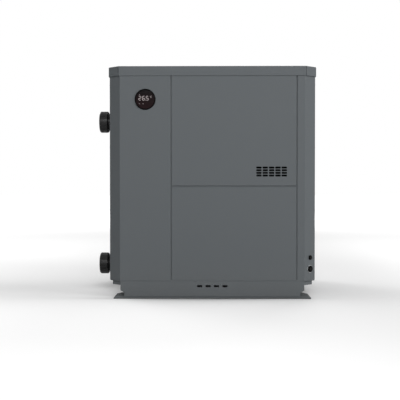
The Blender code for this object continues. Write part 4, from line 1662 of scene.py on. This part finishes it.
def add_lamp(name, place, power):
    clear_selection()
    bpy.ops.object.light_add(type="AREA", location=place)
    lamp = bpy.context.active_object
    lamp.name = name
    lamp.data.shape = "DISK"
    lamp.data.size = LAMP_SIZE
    lamp.data.energy = power
    aim = Vector(LAMP_TARGET) - Vector(place)
    lamp.rotation_euler = aim.to_track_quat("-Z", "Y").to_euler()


def add_camera():
    clear_selection()
    bpy.ops.object.camera_add(location=CAMERA_PLACE)
    camera = bpy.context.active_object
    camera.name = "front_camera"
    camera.data.lens = CAMERA_LENS
    camera.data.sensor_width = SENSOR_WIDTH
    camera.data.dof.use_dof = False
    camera.rotation_euler = (math.radians(90 - CAMERA_TILT), 0, math.radians(CAMERA_TURN))
    bpy.context.scene.camera = camera


class HEATPUMP_OT_stage(bpy.types.Operator):
    """Build the floor, the light and the camera"""

    bl_idname = "heatpump.stage"
    bl_label = "Stage"

    def execute(self, context):
        settings = stage_settings()
        floor_shade_group()
        floor_material()
        clear_selection()
        bpy.ops.mesh.primitive_plane_add(size=FLOOR_SIZE)
        floor = bpy.context.active_object
        floor.name = "pale_floor"
        floor.data.materials.append(bpy.data.materials["pale_floor"])
        white_world(settings.sky_strength)
        for name, place, share in LAMPS:
            add_lamp(name, place, settings.key_power * share)
        add_camera()
        context.scene.view_settings.view_transform = "Standard"
        return {"FINISHED"}


STEPS = (
    HEATPUMP_OT_materials,
    HEATPUMP_OT_stage,
    HEATPUMP_OT_cabinet,
    HEATPUMP_OT_joint_flanges,
    HEATPUMP_OT_skirts,
    HEATPUMP_OT_inner_metal,
    HEATPUMP_OT_unions,
    HEATPUMP_OT_controller,
    HEATPUMP_OT_cable_glands,
    HEATPUMP_OT_coil,
    HEATPUMP_OT_coil_guards,
    HEATPUMP_OT_fan,
    HEATPUMP_OT_fan_guard,
    HEATPUMP_OT_fasteners,
)


class HEATPUMP_PT_panel(bpy.types.Panel):
    """Sizes, colours and the steps that build the heat pump"""

    bl_label = "Pool Heat Pump"
    bl_idname = "HEATPUMP_PT_panel"
    bl_space_type = "VIEW_3D"
    bl_region_type = "UI"
    bl_category = "Heat Pump"

    def draw(self, context):
        layout = self.layout
        groups = (finish_settings(), display_settings(), grid_settings(), stage_settings())
        for group in groups:
            box = layout.box()
            for name in group.__annotations__:
                box.prop(group, name)
        for step in STEPS:
            layout.operator(step.bl_idname)


SETTINGS = (
    ("heat_pump_finish", CabinetFinish),
    ("heat_pump_display", DisplaySettings),
    ("heat_pump_grids", GridSizes),
    ("heat_pump_stage", StageSettings),
)
CLASSES = tuple(kind for _, kind in SETTINGS) + STEPS + (HEATPUMP_PT_panel,)


def register():
    for kind in CLASSES:
        bpy.utils.register_class(kind)
    for name, kind in SETTINGS:
        setattr(bpy.types.Scene, name, bpy.props.PointerProperty(type=kind))


def unregister():
    for name, _ in SETTINGS:
        delattr(bpy.types.Scene, name)
    for kind in reversed(CLASSES):
        bpy.utils.unregister_class(kind)


def main():
    register()
    bpy.ops.heatpump.materials()
    bpy.ops.heatpump.stage()
    bpy.ops.heatpump.cabinet()
    bpy.ops.heatpump.joint_flanges()
    bpy.ops.heatpump.skirts()
    bpy.ops.heatpump.inner_metal()
    bpy.ops.heatpump.unions()
    bpy.ops.heatpump.controller()
    bpy.ops.heatpump.cable_glands()
    bpy.ops.heatpump.coil()
    bpy.ops.heatpump.coil_guards()
    bpy.ops.heatpump.fan()
    bpy.ops.heatpump.fan_guard()
    bpy.ops.heatpump.fasteners()
    bpy.context.view_layer.update()


if __name__ == "__main__":
    main()
